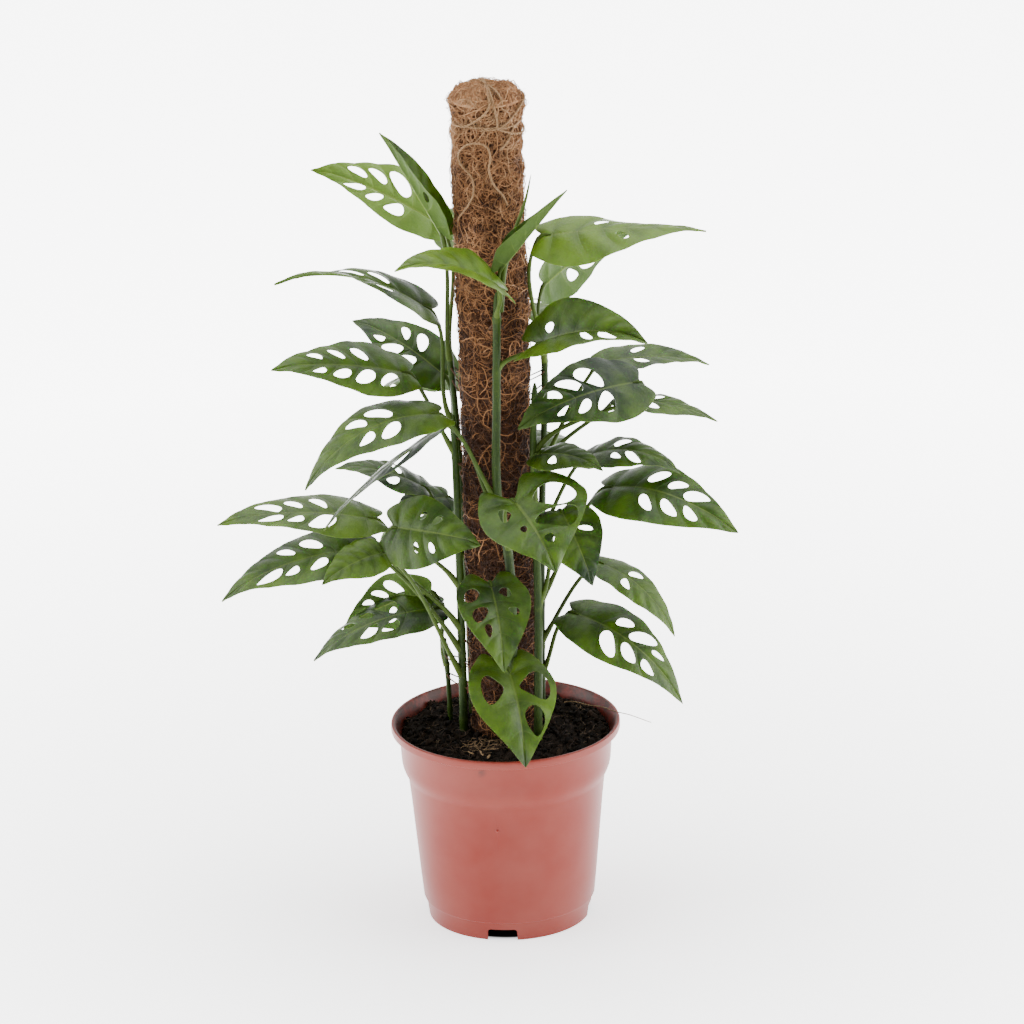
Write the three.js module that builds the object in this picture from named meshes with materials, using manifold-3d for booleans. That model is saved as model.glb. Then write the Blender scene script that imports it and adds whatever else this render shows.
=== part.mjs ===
// A potted swiss cheese vine: a nursery pot full of potting soil, a coir climbing
// pole tied with twine, and seven leafy stems that stand round the pole.
// Millimetres, +Z up, origin at the middle of the pot's underside, front towards -Y.
import * as THREE from 'three';
import Module from 'manifold-3d';

const wasm = await Module();
wasm.setup();

// Pot
const POT_HEIGHT = 152.5;
const RIM_RADIUS = 85;
const RIM_DROP = 6.5;
const RIM_INNER_RADIUS = 81.6;
const COLLAR_TOP_RADIUS = 79;
const COLLAR_FOOT_RADIUS = 77.5;
const COLLAR_FOOT_Z = 114;
const STEP_Z = 110;
const STEP_RADIUS = 73;
const FOOT_TOP_Z = 15;
const FOOT_TOP_RADIUS = 63.6;
const FOOT_STEP_RADIUS = 62;
const FOOT_RADIUS = 60;
const CENTRE_FOOT_RADIUS = 9;
const WALL = 1.6;
const FLOOR_UNDER_Z = 9.5;
const FLOOR_TOP_Z = 11.5;
const NOTCH_WIDTH = 22;
const NOTCH_HEIGHT = 9;
const NOTCH_DEPTH = 12;
const NOTCH_TURN = -5.5;
const NOTCH_COUNT = 4;
const DRAIN_COUNT = 6;
const DRAIN_RADIUS = 3.5;
const DRAIN_SIDES = 6;
const DRAIN_RING_RADIUS = 42;
const POT_SIDES = 28;

// Soil
const SOIL_GAP = 0.4;
const SOIL_TOP_Z = 143.5;
const SOIL_RELIEF = 2.6;
const SOIL_RINGS = [36, 52, 70];
const STEM_ROOM = 0.6;
const STEM_HOLE_SIDES = 10;

// Climbing pole
const POLE_RADIUS = 25.2;
const POLE_BOTTOM_Z = 30;
const POLE_ROUGH_TOP_Z = 600;
const POLE_FOOT_X = 2.1;
const POLE_LEAN = -0.0105;
const POLE_ROUGHNESS = 1.7;
const POLE_SIDES = 20;
const POLE_RINGS = 13;
const POLE_HOLE_RADIUS = 27.4;
const STAKE_RADIUS = 6.5;
const STAKE_BOTTOM_Z = 18;
const STAKE_TOP_Z = 608;
const STAKE_BORE_RADIUS = 6.9;
const STAKE_SIDES = 12;

const TIE_Z = 621;
const PINCH_RADIUS = 23.8;
const POLE_TOP_Z = 645;
// Radius and height round the head of the pole: below the tie, at it, over it and across the top
const POLE_NECK = [25.6, 611];
const POLE_CROWN = [[26.6, 629], [26.2, 636], [22, 641.5], [13, 644.5]];

// Twine
const TWINE_RADIUS = 0.9;
const TWINE_SIDES = 4;
const TWINE_LIFT = 2;
const TOP_STRAND_TURNS = [-62, -118];
const TOP_STRAND_STEPS = 12;
// The hanging loop as turn and height: down from the tie, over an arch and away
const LOOP_PLACES = [
  [-105, TIE_Z], [-104, 611], [-112, 601], [-122, 590], [-124, 578], [-112, 566], [-92, 560],
];
const LOOP_STEPS = 9;

// Leaves
const BLADE_THICKNESS = 0.8;
const CUP = 0.12;
const LOPSIDED = 0.06;
const LOBE = 0.1;
const WAVE = 1.2;
const VEIN_START = 0.07;
const VEIN_COUNT = 6;
const HOLE_CELL_ORDER = [1, 2, 3, 0, 4];
const HOLE_SIDES = 5;
const HOLE_MIDDLE = 0.43;
const HOLE_LONG = 0.24;
const HOLE_WIDE = 0.3;
const PETIOLE_SIDES = 4;
const PETIOLE_STEPS = 4;
const PETIOLE_FOOT_RADIUS = 2.4;
const PETIOLE_RADIUS = 1.7;
const PETIOLE_END_RADIUS = 1.3;
const PETIOLE_GRIP = 0.06;
const PETIOLE_LIFT = 0.55;
const STEM_SIDES = 6;
const STEM_STEP_LENGTH = 45;

// The seven leafy stems. `line` is the stem's centre line, `thick` its radius at the
// foot and at the top. Each leaf: height on the stem its stalk leaves from, blade base,
// blade tip, width, then how the blade is set: roll about its midrib, fold of the two
// halves, arch of the midrib, cupping, twist along the blade, lopsidedness, how far the
// lobes reach back, how many side veins each half has, how many holes each half has and
// how big they are, or the holes one by one in `open`: half, cell, how far out, half
// length out, half width as a share of the cell.
const VINES = {
  vine_front: {
    line: [[5, -37, 100], [5, -37, 150], [6, -37, 285], [-2, -36, 345], [-1, -36, 420], [1, -36, 500]],
    thick: [4.3, 3.2],
    leaves: [
      { from: 480, base: [1, -56, 511], tip: [-72, -84, 536], width: 46, roll: 14, fold: 16, arch: 0.13,
        lobe: 0.24, holes: [0, 0] },
      { from: 482, base: [4, -41, 519], tip: [53, -56, 584], width: 17, roll: 25, fold: 66, cup: -0.5,
        holes: [0, 0] },
      { from: 440, base: [29, -36, 459], tip: [109, -62, 470], width: 62, roll: 26, fold: 26, arch: 0.14,
        lobe: 0.22, open: [[1, 3, 0.46, 0.3, 0.2], [1, 4, 0.5, 0.3, 0.3], [-1, 1, 0.3, 0.12, 0.2]] },
      { from: 336, base: [-43, -40, 409], tip: [-141, -76, 368], width: 58, roll: 12, arch: 0.17,
        holes: [2, 2] },
      { from: 318, base: [-38, -36, 399], tip: [-129, -64, 331], width: 34, roll: -15, arch: 0.04,
        holes: [1, 1] },
      { from: 300, base: [9, -74, 354], tip: [39, -112, 315], width: 84, roll: 20, fold: 4, arch: 0.1,
        asym: -0.22, lobe: 0.42, veins: 4,
        open: [[-1, 1, 0.55, 0.29, 0.38], [-1, 2, 0.48, 0.35, 0.42], [-1, 3, 0.2, 0.1, 0.18],
          [1, 1, 0.42, 0.13, 0.22], [1, 2, 0.25, 0.09, 0.14]] },
      { from: 236, base: [-9, -48, 280], tip: [0, -90, 228], width: 56, roll: 0, fold: 12, arch: 0.14,
        lobe: 0.18, veins: 5, open: [[1, 1, 0.6, 0.15, 0.26], [1, 2, 0.5, 0.2, 0.26], [1, 3, 0.42, 0.13, 0.3],
          [-1, 1, 0.34, 0.13, 0.2], [-1, 2, 0.5, 0.12, 0.16]] },
      { from: 165, base: [3, -50, 213], tip: [14, -94, 155], width: 66, roll: 0, fold: 8, arch: 0.14,
        lobe: 0.3, veins: 3,
        open: [[-1, 1, 0.5, 0.3, 0.25], [-1, 2, 0.5, 0.3, 0.4], [1, 1, 0.5, 0.2, 0.26]] },
    ],
  },
  vine_left: {
    line: [[-31, -6, 100], [-31, -6, 150], [-31, -9, 251], [-32, -12, 346], [-33, -12, 398]],
    thick: [3.7, 2.8],
    leaves: [
      { from: 388, base: [-47, -5, 476], tip: [-160, -30, 510], width: 56, roll: -8, fold: 6, arch: 0.12,
        twist: -60, holes: [3, 2] },
      { from: 368, base: [-64, -10, 430], tip: [-164, -40, 448], width: 60, roll: 22, arch: 0.05,
        holes: [3, 4] },
      { from: 262, base: [-91, -20, 321], tip: [-207, -40, 329], width: 58, roll: 12, arch: 0.06,
        holes: [3, 3] },
      { from: 228, base: [-79, -48, 325], tip: [-15, -78, 323], width: 56, roll: 55, arch: 0.08,
        lobe: 0.2, pierce: 0.55, holes: [2, 2] },
      { from: 210, base: [-95, -37, 304], tip: [-205, -57, 276], width: 62, roll: 15, arch: 0.1,
        holes: [2, 3] },
      { from: 190, base: [-85, -54, 308], tip: [-131, -80, 295], width: 36, roll: 30, arch: 0.1,
        holes: [0, 0] },
    ],
  },
  vine_left_back: {
    line: [[-24, 26, 100], [-24, 26, 150], [-27, 21, 300], [-32, 14, 400], [-35, 8, 440]],
    thick: [3.5, 2.6],
    leaves: [
      { from: 424, base: [-39, 30, 531], tip: [-133, 56, 569], width: 66, roll: -62, arch: 0.05,
        asym: -0.2, lobe: 0.16, holes: [3, 3] },
      { from: 434, base: [-38, -6, 535], tip: [-81, -16, 618], width: 34, roll: 20, fold: 54, holes: [0, 1] },
      { from: 350, base: [-38, 26, 414], tip: [-106, 58, 450], width: 50, roll: 25, arch: 0.08,
        holes: [2, 3] },
      { from: 272, base: [-55, 14, 332], tip: [-121, 18, 349], width: 44, roll: 5, arch: 0.08,
        holes: [1, 1] },
      { from: 250, base: [-38, 26, 320], tip: [-78, 8, 318], width: 40, roll: 20, arch: 0.05,
        holes: [1, 1] },
    ],
  },
  vine_right: {
    line: [[24, -28, 100], [24, -28, 150], [26, -25, 250], [25, -25.5, 374], [27, -23, 425]],
    thick: [3.8, 2.8],
    leaves: [
      { from: 372, base: [104, -8, 419], tip: [14, -52, 403], width: 66, roll: 27, arch: 0.08,
        holes: [3, 3] },
      { from: 352, base: [88, 5, 402], tip: [160, -10, 389], width: 36, roll: 2, arch: 0.05,
        holes: [1, 1] },
      { from: 300, base: [62, -12, 363], tip: [132, -28, 356], width: 46, roll: 8, arch: 0.16,
        holes: [2, 1] },
      { from: 330, base: [27, -30, 372], tip: [75, -60, 371], width: 40, roll: 10, arch: 0.1,
        holes: [1, 0] },
      { from: 252, base: [44, -20, 325], tip: [66, -54, 280], width: 50, roll: 20, arch: 0.12,
        holes: [1, 1] },
    ],
  },
  vine_right_back: {
    line: [[27, 20, 100], [27, 20, 150], [30, 15, 300], [34, 7, 400], [35, 2, 450]],
    thick: [3.6, 2.6],
    leaves: [
      { from: 432, base: [34, -8, 533], tip: [153, -35, 545], width: 56, roll: 8, fold: -11, arch: 0.03,
        twist: -45, open: [[-1, 2, 0.42, 0.17, 0.2], [-1, 5, 0.45, 0.28, 0.3], [1, 3, 0.4, 0.14, 0.14]] },
      { from: 420, base: [35, 16, 487], tip: [102, 76, 510], width: 56, roll: -78, arch: 0.05,
        holes: [3, 3] },
      { from: 350, base: [75, 30, 421], tip: [156, 42, 415], width: 44, roll: 5, fold: 10, arch: 0.06,
        holes: [1, 1] },
      { from: 240, base: [76, -14, 339], tip: [173, -48, 317], width: 62, roll: 28, arch: 0.15,
        twist: 24, holes: [3, 3] },
      { from: 206, base: [71, 10, 272], tip: [126, -20, 225], width: 35, roll: 8, arch: 0.14,
        holes: [1, 1] },
      { from: 180, base: [50, 5, 235], tip: [131, -30, 176], width: 52, roll: 25, arch: 0.17,
        holes: [3, 3] },
    ],
  },
  vine_low_left: {
    line: [[-41, 18, 100], [-41, 18, 150], [-42, 17, 180], [-44, 15, 212]],
    thick: [2.4, 1.9],
    leaves: [
      { from: 190, base: [-52, 24, 246], tip: [-119, 34, 216], width: 56, roll: -72, arch: 0.1,
        holes: [3, 3] },
      { from: 206, base: [-48, 14, 237], tip: [-141, 10, 201], width: 54, roll: 15, arch: 0.1,
        holes: [3, 2] },
    ],
  },
  vine_back: {
    line: [[0, 38, 100], [0, 38, 150], [-3, 37, 260], [2, 37, 360], [-3, 37, 440]],
    thick: [3.8, 2.8],
    leaves: [
      { from: 430, base: [-10, 52, 500], tip: [-40, 128, 510], width: 56, roll: 5, arch: 0.1,
        holes: [3, 2] },
      { from: 392, base: [22, 62, 446], tip: [70, 138, 428], width: 58, roll: -5, arch: 0.1,
        holes: [2, 3] },
      { from: 336, base: [-24, 70, 394], tip: [-88, 132, 366], width: 56, roll: 5, arch: 0.12,
        holes: [3, 2] },
      { from: 286, base: [16, 72, 340], tip: [30, 160, 312], width: 60, roll: 0, arch: 0.12,
        holes: [2, 2] },
      { from: 232, base: [-30, 66, 290], tip: [-92, 122, 250], width: 54, roll: 5, arch: 0.12,
        holes: [2, 2] },
      { from: 196, base: [8, 62, 236], tip: [14, 136, 190], width: 52, roll: 0, arch: 0.12,
        holes: [2, 1] },
    ],
  },
};

// Seeded random number from 0 to 1, always the same for the same two numbers.
function rand(i, j) {
  const s = Math.sin(12.9898 * i + 78.233 * j) * 43758.5453;
  return s - Math.floor(s);
}

// Welds the corners of a closed surface and returns its points and triangles.
function weld(geometry) {
  const at = geometry.attributes.position;
  const index = geometry.index;
  const count = index ? index.count : at.count;
  const seen = new Map();
  const points = [];
  const tris = [];
  for (let i = 0; i < count; i += 3) {
    const corner = [0, 1, 2].map((k) => {
      const v = index ? index.getX(i + k) : i + k;
      const p = [at.getX(v), at.getY(v), at.getZ(v)];
      const key = p.map((c) => Math.round(c * 1000)).join();
      if (!seen.has(key)) {
        seen.set(key, points.length / 3);
        points.push(...p);
      }
      return seen.get(key);
    });
    if (corner[0] !== corner[1] && corner[1] !== corner[2] && corner[2] !== corner[0]) {
      tris.push(...corner);
    }
  }
  return { points, tris };
}

// A solid that can be joined to others and cut.
function solid(geometry) {
  const { points, tris } = weld(geometry);
  const mesh = new wasm.Mesh({
    numProp: 3,
    vertProperties: new Float32Array(points),
    triVerts: new Uint32Array(tris),
  });
  return new wasm.Manifold(mesh);
}

function surface(points, tris) {
  const geometry = new THREE.BufferGeometry();
  geometry.setAttribute('position', new THREE.Float32BufferAttribute(points, 3));
  geometry.setIndex(tris);
  return geometry;
}

function geometryOf(body) {
  const mesh = body.getMesh();
  return surface(Array.from(mesh.vertProperties), Array.from(mesh.triVerts));
}

function joined(bodies) {
  return bodies.reduce((all, one) => all.add(one));
}

// An upright cylinder from one height to another.
function post(x, y, radius, bottom, top, sides) {
  const geometry = new THREE.CylinderGeometry(radius, radius, top - bottom, sides);
  geometry.rotateX(Math.PI / 2);
  geometry.translate(x, y, (top + bottom) / 2);
  return solid(geometry);
}

// A turned body about Z from a profile of radius and height pairs.
function turned(profile, sides) {
  const points = profile.map(([r, z]) => new THREE.Vector2(r, z));
  const geometry = new THREE.LatheGeometry(points, sides);
  geometry.rotateX(Math.PI / 2);
  return geometry;
}

// A round rod bent along a curve, with its radius given along the way.
function bentRod(curve, radiusAt, sides, steps) {
  const rod = new THREE.CylinderGeometry(1, 1, 1, sides, steps);
  const frames = curve.computeFrenetFrames(steps, false);
  const at = rod.attributes.position;
  const along = new THREE.Vector3();
  const across = new THREE.Vector3();
  for (let i = 0; i < at.count; i += 1) {
    const k = Math.round((at.getY(i) + 0.5) * steps);
    const radius = radiusAt(k / steps);
    along.copy(curve.getPointAt(k / steps));
    across.crossVectors(frames.normals[k], frames.tangents[k]);
    along.addScaledVector(frames.normals[k], at.getX(i) * radius);
    along.addScaledVector(across, at.getZ(i) * radius);
    at.setXYZ(i, along.x, along.y, along.z);
  }
  return solid(rod);
}

// Half the width of a blade at a share of its length, 1 at the widest.
function bladeHalf(v) {
  const body = Math.max(0, Math.sin(Math.PI * v ** 0.55)) ** 0.9;
  return Math.hypot(body, 0.45 * (1 - v) ** 12);
}

// How far back a blade's lobe reaches at u, 0 at the midrib and rounded at the margin.
function lobeReach(u) {
  return u * u * (3 - 2 * u) * (1 - 0.25 * u ** 4);
}

// Side veins leave the midrib at w and run out and forward to the margin at u = 1.
function veinLine(u, w) {
  const lean = 0.02 + 0.62 * w * (1 - w);
  return Math.min(1, w + lean * Math.abs(u) ** 1.3);
}

// The set of a blade in space: a function from flat blade place to point in space.
function bladeFrame(leaf) {
  const base = new THREE.Vector3(...leaf.base);
  const chord = new THREE.Vector3(...leaf.tip).sub(base);
  const length = chord.length();
  const ahead = chord.clone().normalize();
  const up = new THREE.Vector3(0, 0, 1);
  const level = up.clone().addScaledVector(ahead, -up.dot(ahead)).normalize();
  const toFront = new THREE.Vector3().crossVectors(ahead, level);
  if (ahead.x < 0) toFront.negate();
  const half = leaf.width / 2;
  const fold = THREE.MathUtils.degToRad(leaf.fold ?? 0);
  const cup = leaf.cup ?? CUP;
  const arch = leaf.arch ?? 0;
  const point = (x, t) => {
    const turn = THREE.MathUtils.degToRad(leaf.roll + (leaf.twist ?? 0) * (t - 0.5));
    const face = level.clone().multiplyScalar(Math.cos(turn)).addScaledVector(toFront, Math.sin(turn));
    const side = new THREE.Vector3().crossVectors(ahead, face);
    const bow = 4 * t * (1 - t);
    const slope = arch * 4 * (1 - 2 * t);
    const rise = face.clone().addScaledVector(ahead, -slope).normalize();
    const out = Math.abs(x);
    const ripple = WAVE * Math.sin(9 * t + leaf.seed + (x > 0 ? 2 : 0)) * (out / half) ** 2;
    const lift = out * Math.sin(fold) - cup * out * out / half + ripple;
    return base.clone()
      .addScaledVector(chord, t)
      .addScaledVector(face, arch * length * bow)
      .addScaledVector(side, x * Math.cos(fold))
      .addScaledVector(rise, lift);
  };
  const normal = (x, t) => {
    const dx = point(x + 0.5, t).sub(point(x - 0.5, t));
    const dt = point(x, t + 0.005).sub(point(x, t - 0.005));
    return new THREE.Vector3().crossVectors(dt, dx).normalize();
  };
  return { point, normal, length, half, fold, ahead };
}

// The hole in one cell of a blade as out, half length and half width, if it has one.
function holeIn(leaf, side, cell) {
  if (leaf.open) {
    const found = leaf.open.find((hole) => hole[0] === side && hole[1] === cell);
    return found && { u: found[2], long: found[3], wide: found[4] };
  }
  const holed = HOLE_CELL_ORDER.slice(0, leaf.holes[side > 0 ? 0 : 1]);
  if (!holed.includes(cell - 1)) return undefined;
  const draw = (n) => rand(leaf.seed * 7 + cell, n + side) - 0.5;
  const size = (leaf.pierce ?? 1) * (0.94 + 0.5 * draw(15));
  return {
    u: HOLE_MIDDLE + 0.08 * draw(3),
    long: (HOLE_LONG + 0.08 * draw(7)) * size,
    wide: (HOLE_WIDE + 0.09 * draw(9)) * size,
  };
}

// The cells of a flat blade between its side veins, as outlines with the hole in each.
function bladeCells(leaf) {
  const veins = leaf.veins ?? VEIN_COUNT;
  const pitch = (1 - VEIN_START) / veins;
  const lines = [0];
  for (let k = 0; k < veins; k += 1) lines.push(VEIN_START + pitch * k);
  const cells = [];
  for (const side of [1, -1]) {
    for (let k = 0; k < lines.length; k += 1) {
      const low = lines[k];
      const high = lines[k + 1] ?? 1;
      const outline = [[0, low]];
      if (k !== 1) outline.push([0.6, low]);
      outline.push([1, low]);
      if (k === 1 || k === 2) outline.push([1, (low + high) / 2]);
      if (high < 1) outline.push([1, high]);
      if (high < 1 && k > 0) outline.push([0.6, high]);
      outline.push([0, high]);
      const holes = [];
      const hole = holeIn(leaf, side, k);
      if (hole) {
        const middle = (low + high) / 2;
        const rim = [];
        for (let j = 0; j < HOLE_SIDES; j += 1) {
          const turn = 2 * Math.PI * j / HOLE_SIDES;
          rim.push([hole.u + hole.long * Math.cos(turn), middle + hole.wide * pitch * Math.sin(turn)]);
        }
        holes.push(rim);
      }
      cells.push({ side, outline, holes });
    }
  }
  return cells;
}

// A leaf blade: a thin plate with holes, cell by cell, alike on both faces.
function blade(leaf) {
  const frame = bladeFrame(leaf);
  const asym = leaf.asym ?? LOPSIDED;
  const lobe = leaf.lobe ?? LOBE;
  const known = new Map();
  const spots = [];
  const spot = (side, u, w) => {
    const key = u === 0 ? `0,${w.toFixed(5)}` : `${side * u},${w.toFixed(5)}`;
    if (!known.has(key)) {
      const v = u === 0 ? w : veinLine(u, w);
      const x = side * u * bladeHalf(v) * frame.half * (1 + side * asym);
      const t = v - lobe * lobeReach(u) * (1 - v) ** 6;
      const thick = u === 0 ? BLADE_THICKNESS / Math.cos(frame.fold) : BLADE_THICKNESS;
      known.set(key, spots.length);
      spots.push({ middle: frame.point(x, t), off: frame.normal(x, t).multiplyScalar(thick / 2) });
    }
    return known.get(key);
  };
  const faces = [];
  for (const { side, outline, holes } of bladeCells(leaf)) {
    const flat = outline.map(([u, w]) => new THREE.Vector2(u, w));
    const gaps = holes.map((hole) => hole.map(([u, w]) => new THREE.Vector2(u, w)));
    const all = [outline, ...holes].flat().map(([u, w]) => spot(side, u, w));
    for (const [a, b, c] of THREE.ShapeUtils.triangulateShape(flat, gaps)) {
      const face = side > 0 ? [all[a], all[b], all[c]] : [all[a], all[c], all[b]];
      faces.push(face);
    }
  }
  return plate(spots, faces);
}

// A closed plate from middle points with their half thickness, and one set of triangles.
function plate(spots, faces) {
  const points = [];
  for (const way of [1, -1]) {
    for (const { middle, off } of spots) {
      const p = middle.clone().addScaledVector(off, way);
      points.push(p.x, p.y, p.z);
    }
  }
  const under = spots.length;
  const tris = [];
  const edges = new Map();
  for (const [a, b, c] of faces) {
    tris.push(a, b, c, under + a, under + c, under + b);
    for (const [p, q] of [[a, b], [b, c], [c, a]]) {
      if (edges.has(`${q},${p}`)) edges.delete(`${q},${p}`);
      else edges.set(`${p},${q}`, [p, q]);
    }
  }
  for (const [p, q] of edges.values()) {
    tris.push(q, p, under + p, q, under + p, under + q);
  }
  const body = solid(surface(points, tris));
  if (body.volume() > 0) return body;
  const turnedOut = [];
  for (let i = 0; i < tris.length; i += 3) turnedOut.push(tris[i], tris[i + 2], tris[i + 1]);
  return solid(surface(points, turnedOut));
}

// The leaf stalk: up and away from the stem, then over into the blade's midrib.
function petiole(leaf, stem) {
  const frame = bladeFrame(leaf);
  const foot = stem(leaf.from);
  const base = new THREE.Vector3(...leaf.base);
  const reach = base.distanceTo(foot);
  const away = base.clone().sub(foot).setZ(0).normalize();
  const up = new THREE.Vector3(0, 0, 1);
  const start = up.clone().multiplyScalar(0.85).addScaledVector(away, 0.5).normalize();
  const end = frame.ahead.clone().multiplyScalar(1 - PETIOLE_LIFT)
    .addScaledVector(up, PETIOLE_LIFT).normalize();
  const grip = frame.point(0, PETIOLE_GRIP);
  const arc = new THREE.CubicBezierCurve3(
    foot,
    foot.clone().addScaledVector(start, reach * 0.4),
    base.clone().addScaledVector(end, -reach * 0.35),
    base,
  );
  const line = new THREE.CatmullRomCurve3([...arc.getPoints(6), grip]);
  const radiusAt = (h) => {
    const foot = Math.max(0, 1 - h * 5);
    return PETIOLE_RADIUS + (PETIOLE_END_RADIUS - PETIOLE_RADIUS) * h
      + (PETIOLE_FOOT_RADIUS - PETIOLE_RADIUS) * foot - (h === 1 ? 0.5 : 0);
  };
  return bentRod(line, radiusAt, PETIOLE_SIDES, PETIOLE_STEPS);
}

// Centre line of a stem as a function of height.
function stemLine(vine) {
  const curve = new THREE.CatmullRomCurve3(vine.line.map((p) => new THREE.Vector3(...p)));
  const at = (z) => {
    let low = 0;
    let high = 1;
    for (let i = 0; i < 30; i += 1) {
      const middle = (low + high) / 2;
      if (curve.getPoint(middle).z < z) low = middle;
      else high = middle;
    }
    return curve.getPoint(low);
  };
  return { curve, at };
}

function leafyStem(vine, number) {
  const { curve, at } = stemLine(vine);
  const [foot, top] = vine.thick;
  const steps = Math.round(curve.getLength() / STEM_STEP_LENGTH);
  const bodies = [bentRod(curve, (h) => foot + (top - foot) * h, STEM_SIDES, steps)];
  vine.leaves.forEach((leaf, i) => {
    leaf.seed = number * 10 + i;
    bodies.push(petiole(leaf, at), blade(leaf));
  });
  return joined(bodies);
}

// Pot: a thin turned wall with a rolled rim, a raised floor on a foot ring and a small
// centre foot, notches in the foot ring and drain holes in the floor.
function pot() {
  const rimFoot = POT_HEIGHT - RIM_DROP;
  const profile = [
    [0, 0],
    [CENTRE_FOOT_RADIUS, 0],
    [CENTRE_FOOT_RADIUS + 1, FLOOR_UNDER_Z],
    [FOOT_RADIUS - WALL + 0.6, FLOOR_UNDER_Z],
    [FOOT_RADIUS - WALL, 0],
    [FOOT_RADIUS, 0],
    [FOOT_STEP_RADIUS, FOOT_TOP_Z - 1],
    [FOOT_TOP_RADIUS, FOOT_TOP_Z],
    [STEP_RADIUS, STEP_Z],
    [COLLAR_FOOT_RADIUS, COLLAR_FOOT_Z],
    [COLLAR_TOP_RADIUS, rimFoot],
    [RIM_RADIUS - 0.4, rimFoot],
    [RIM_RADIUS, rimFoot + 0.8],
    [RIM_RADIUS, POT_HEIGHT - 1.2],
    [RIM_RADIUS - 1, POT_HEIGHT],
    [RIM_INNER_RADIUS, POT_HEIGHT],
    [COLLAR_TOP_RADIUS - WALL, rimFoot - 2],
    [COLLAR_FOOT_RADIUS - WALL, COLLAR_FOOT_Z + 1],
    [STEP_RADIUS - WALL, STEP_Z - 0.5],
    [FOOT_TOP_RADIUS - WALL, FOOT_TOP_Z],
    [FOOT_STEP_RADIUS - WALL, FLOOR_TOP_Z],
    [0, FLOOR_TOP_Z],
  ];
  let body = solid(turned(profile, POT_SIDES));
  for (let k = 0; k < NOTCH_COUNT; k += 1) {
    const notch = new THREE.BoxGeometry(NOTCH_WIDTH, NOTCH_DEPTH, NOTCH_HEIGHT * 2);
    notch.translate(0, -FOOT_RADIUS, 0);
    notch.rotateZ(THREE.MathUtils.degToRad(NOTCH_TURN + 360 * k / NOTCH_COUNT));
    body = body.subtract(solid(notch));
  }
  for (let k = 0; k < DRAIN_COUNT; k += 1) {
    const turn = 2 * Math.PI * (k + 0.5) / DRAIN_COUNT;
    const x = DRAIN_RING_RADIUS * Math.cos(turn);
    const y = DRAIN_RING_RADIUS * Math.sin(turn);
    body = body.subtract(post(x, y, DRAIN_RADIUS, FLOOR_UNDER_Z - 2, FLOOR_TOP_Z + 2, DRAIN_SIDES));
  }
  return body;
}

// Soil: fills the pot to a lumpy top, with plain holes for the pole and each stem.
function soil() {
  const wallIn = (r) => r - WALL - SOIL_GAP;
  const profile = [
    [0, FLOOR_TOP_Z + SOIL_GAP],
    [wallIn(FOOT_STEP_RADIUS) - 0.3, FLOOR_TOP_Z + SOIL_GAP],
    [wallIn(FOOT_TOP_RADIUS), FOOT_TOP_Z],
    [wallIn(STEP_RADIUS), STEP_Z - 0.5],
    [wallIn(COLLAR_FOOT_RADIUS), COLLAR_FOOT_Z + 1],
    [wallIn(COLLAR_TOP_RADIUS) - 0.3, SOIL_TOP_Z - 5],
    ...SOIL_RINGS.slice().reverse().map((r) => [r, SOIL_TOP_Z]),
    [0, SOIL_TOP_Z],
  ];
  const geometry = turned(profile, POT_SIDES);
  const at = geometry.attributes.position;
  for (let i = 0; i < at.count; i += 1) {
    if (at.getZ(i) > SOIL_TOP_Z - 0.1) {
      const ring = Math.round(Math.hypot(at.getX(i), at.getY(i)));
      const spoke = Math.round(Math.atan2(at.getY(i), at.getX(i)) / (2 * Math.PI) * POT_SIDES + POT_SIDES);
      const lump = rand(ring, ring === 0 ? 1 : spoke % POT_SIDES) - 0.5;
      at.setZ(i, SOIL_TOP_Z + 2 * SOIL_RELIEF * lump * (ring > 66 ? 0.4 : 1));
    }
  }
  let body = solid(geometry);
  const poleMiddle = poleX((POLE_BOTTOM_Z + SOIL_TOP_Z) / 2);
  const above = SOIL_TOP_Z + 20;
  body = body.subtract(post(poleMiddle, 0, POLE_HOLE_RADIUS, POLE_BOTTOM_Z - 1, above, POLE_SIDES));
  body = body.subtract(post(POLE_FOOT_X, 0, STAKE_BORE_RADIUS, STAKE_BOTTOM_Z - 0.4, above, STAKE_SIDES));
  for (const { line, thick } of Object.values(VINES)) {
    const [x, y, z] = line[0];
    body = body.subtract(post(x, y, thick[0] + STEM_ROOM, z - STEM_ROOM, above, STEM_HOLE_SIDES));
  }
  return body;
}

function poleX(z) {
  return POLE_FOOT_X + POLE_LEAN * (z - POLE_BOTTOM_Z);
}

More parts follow.
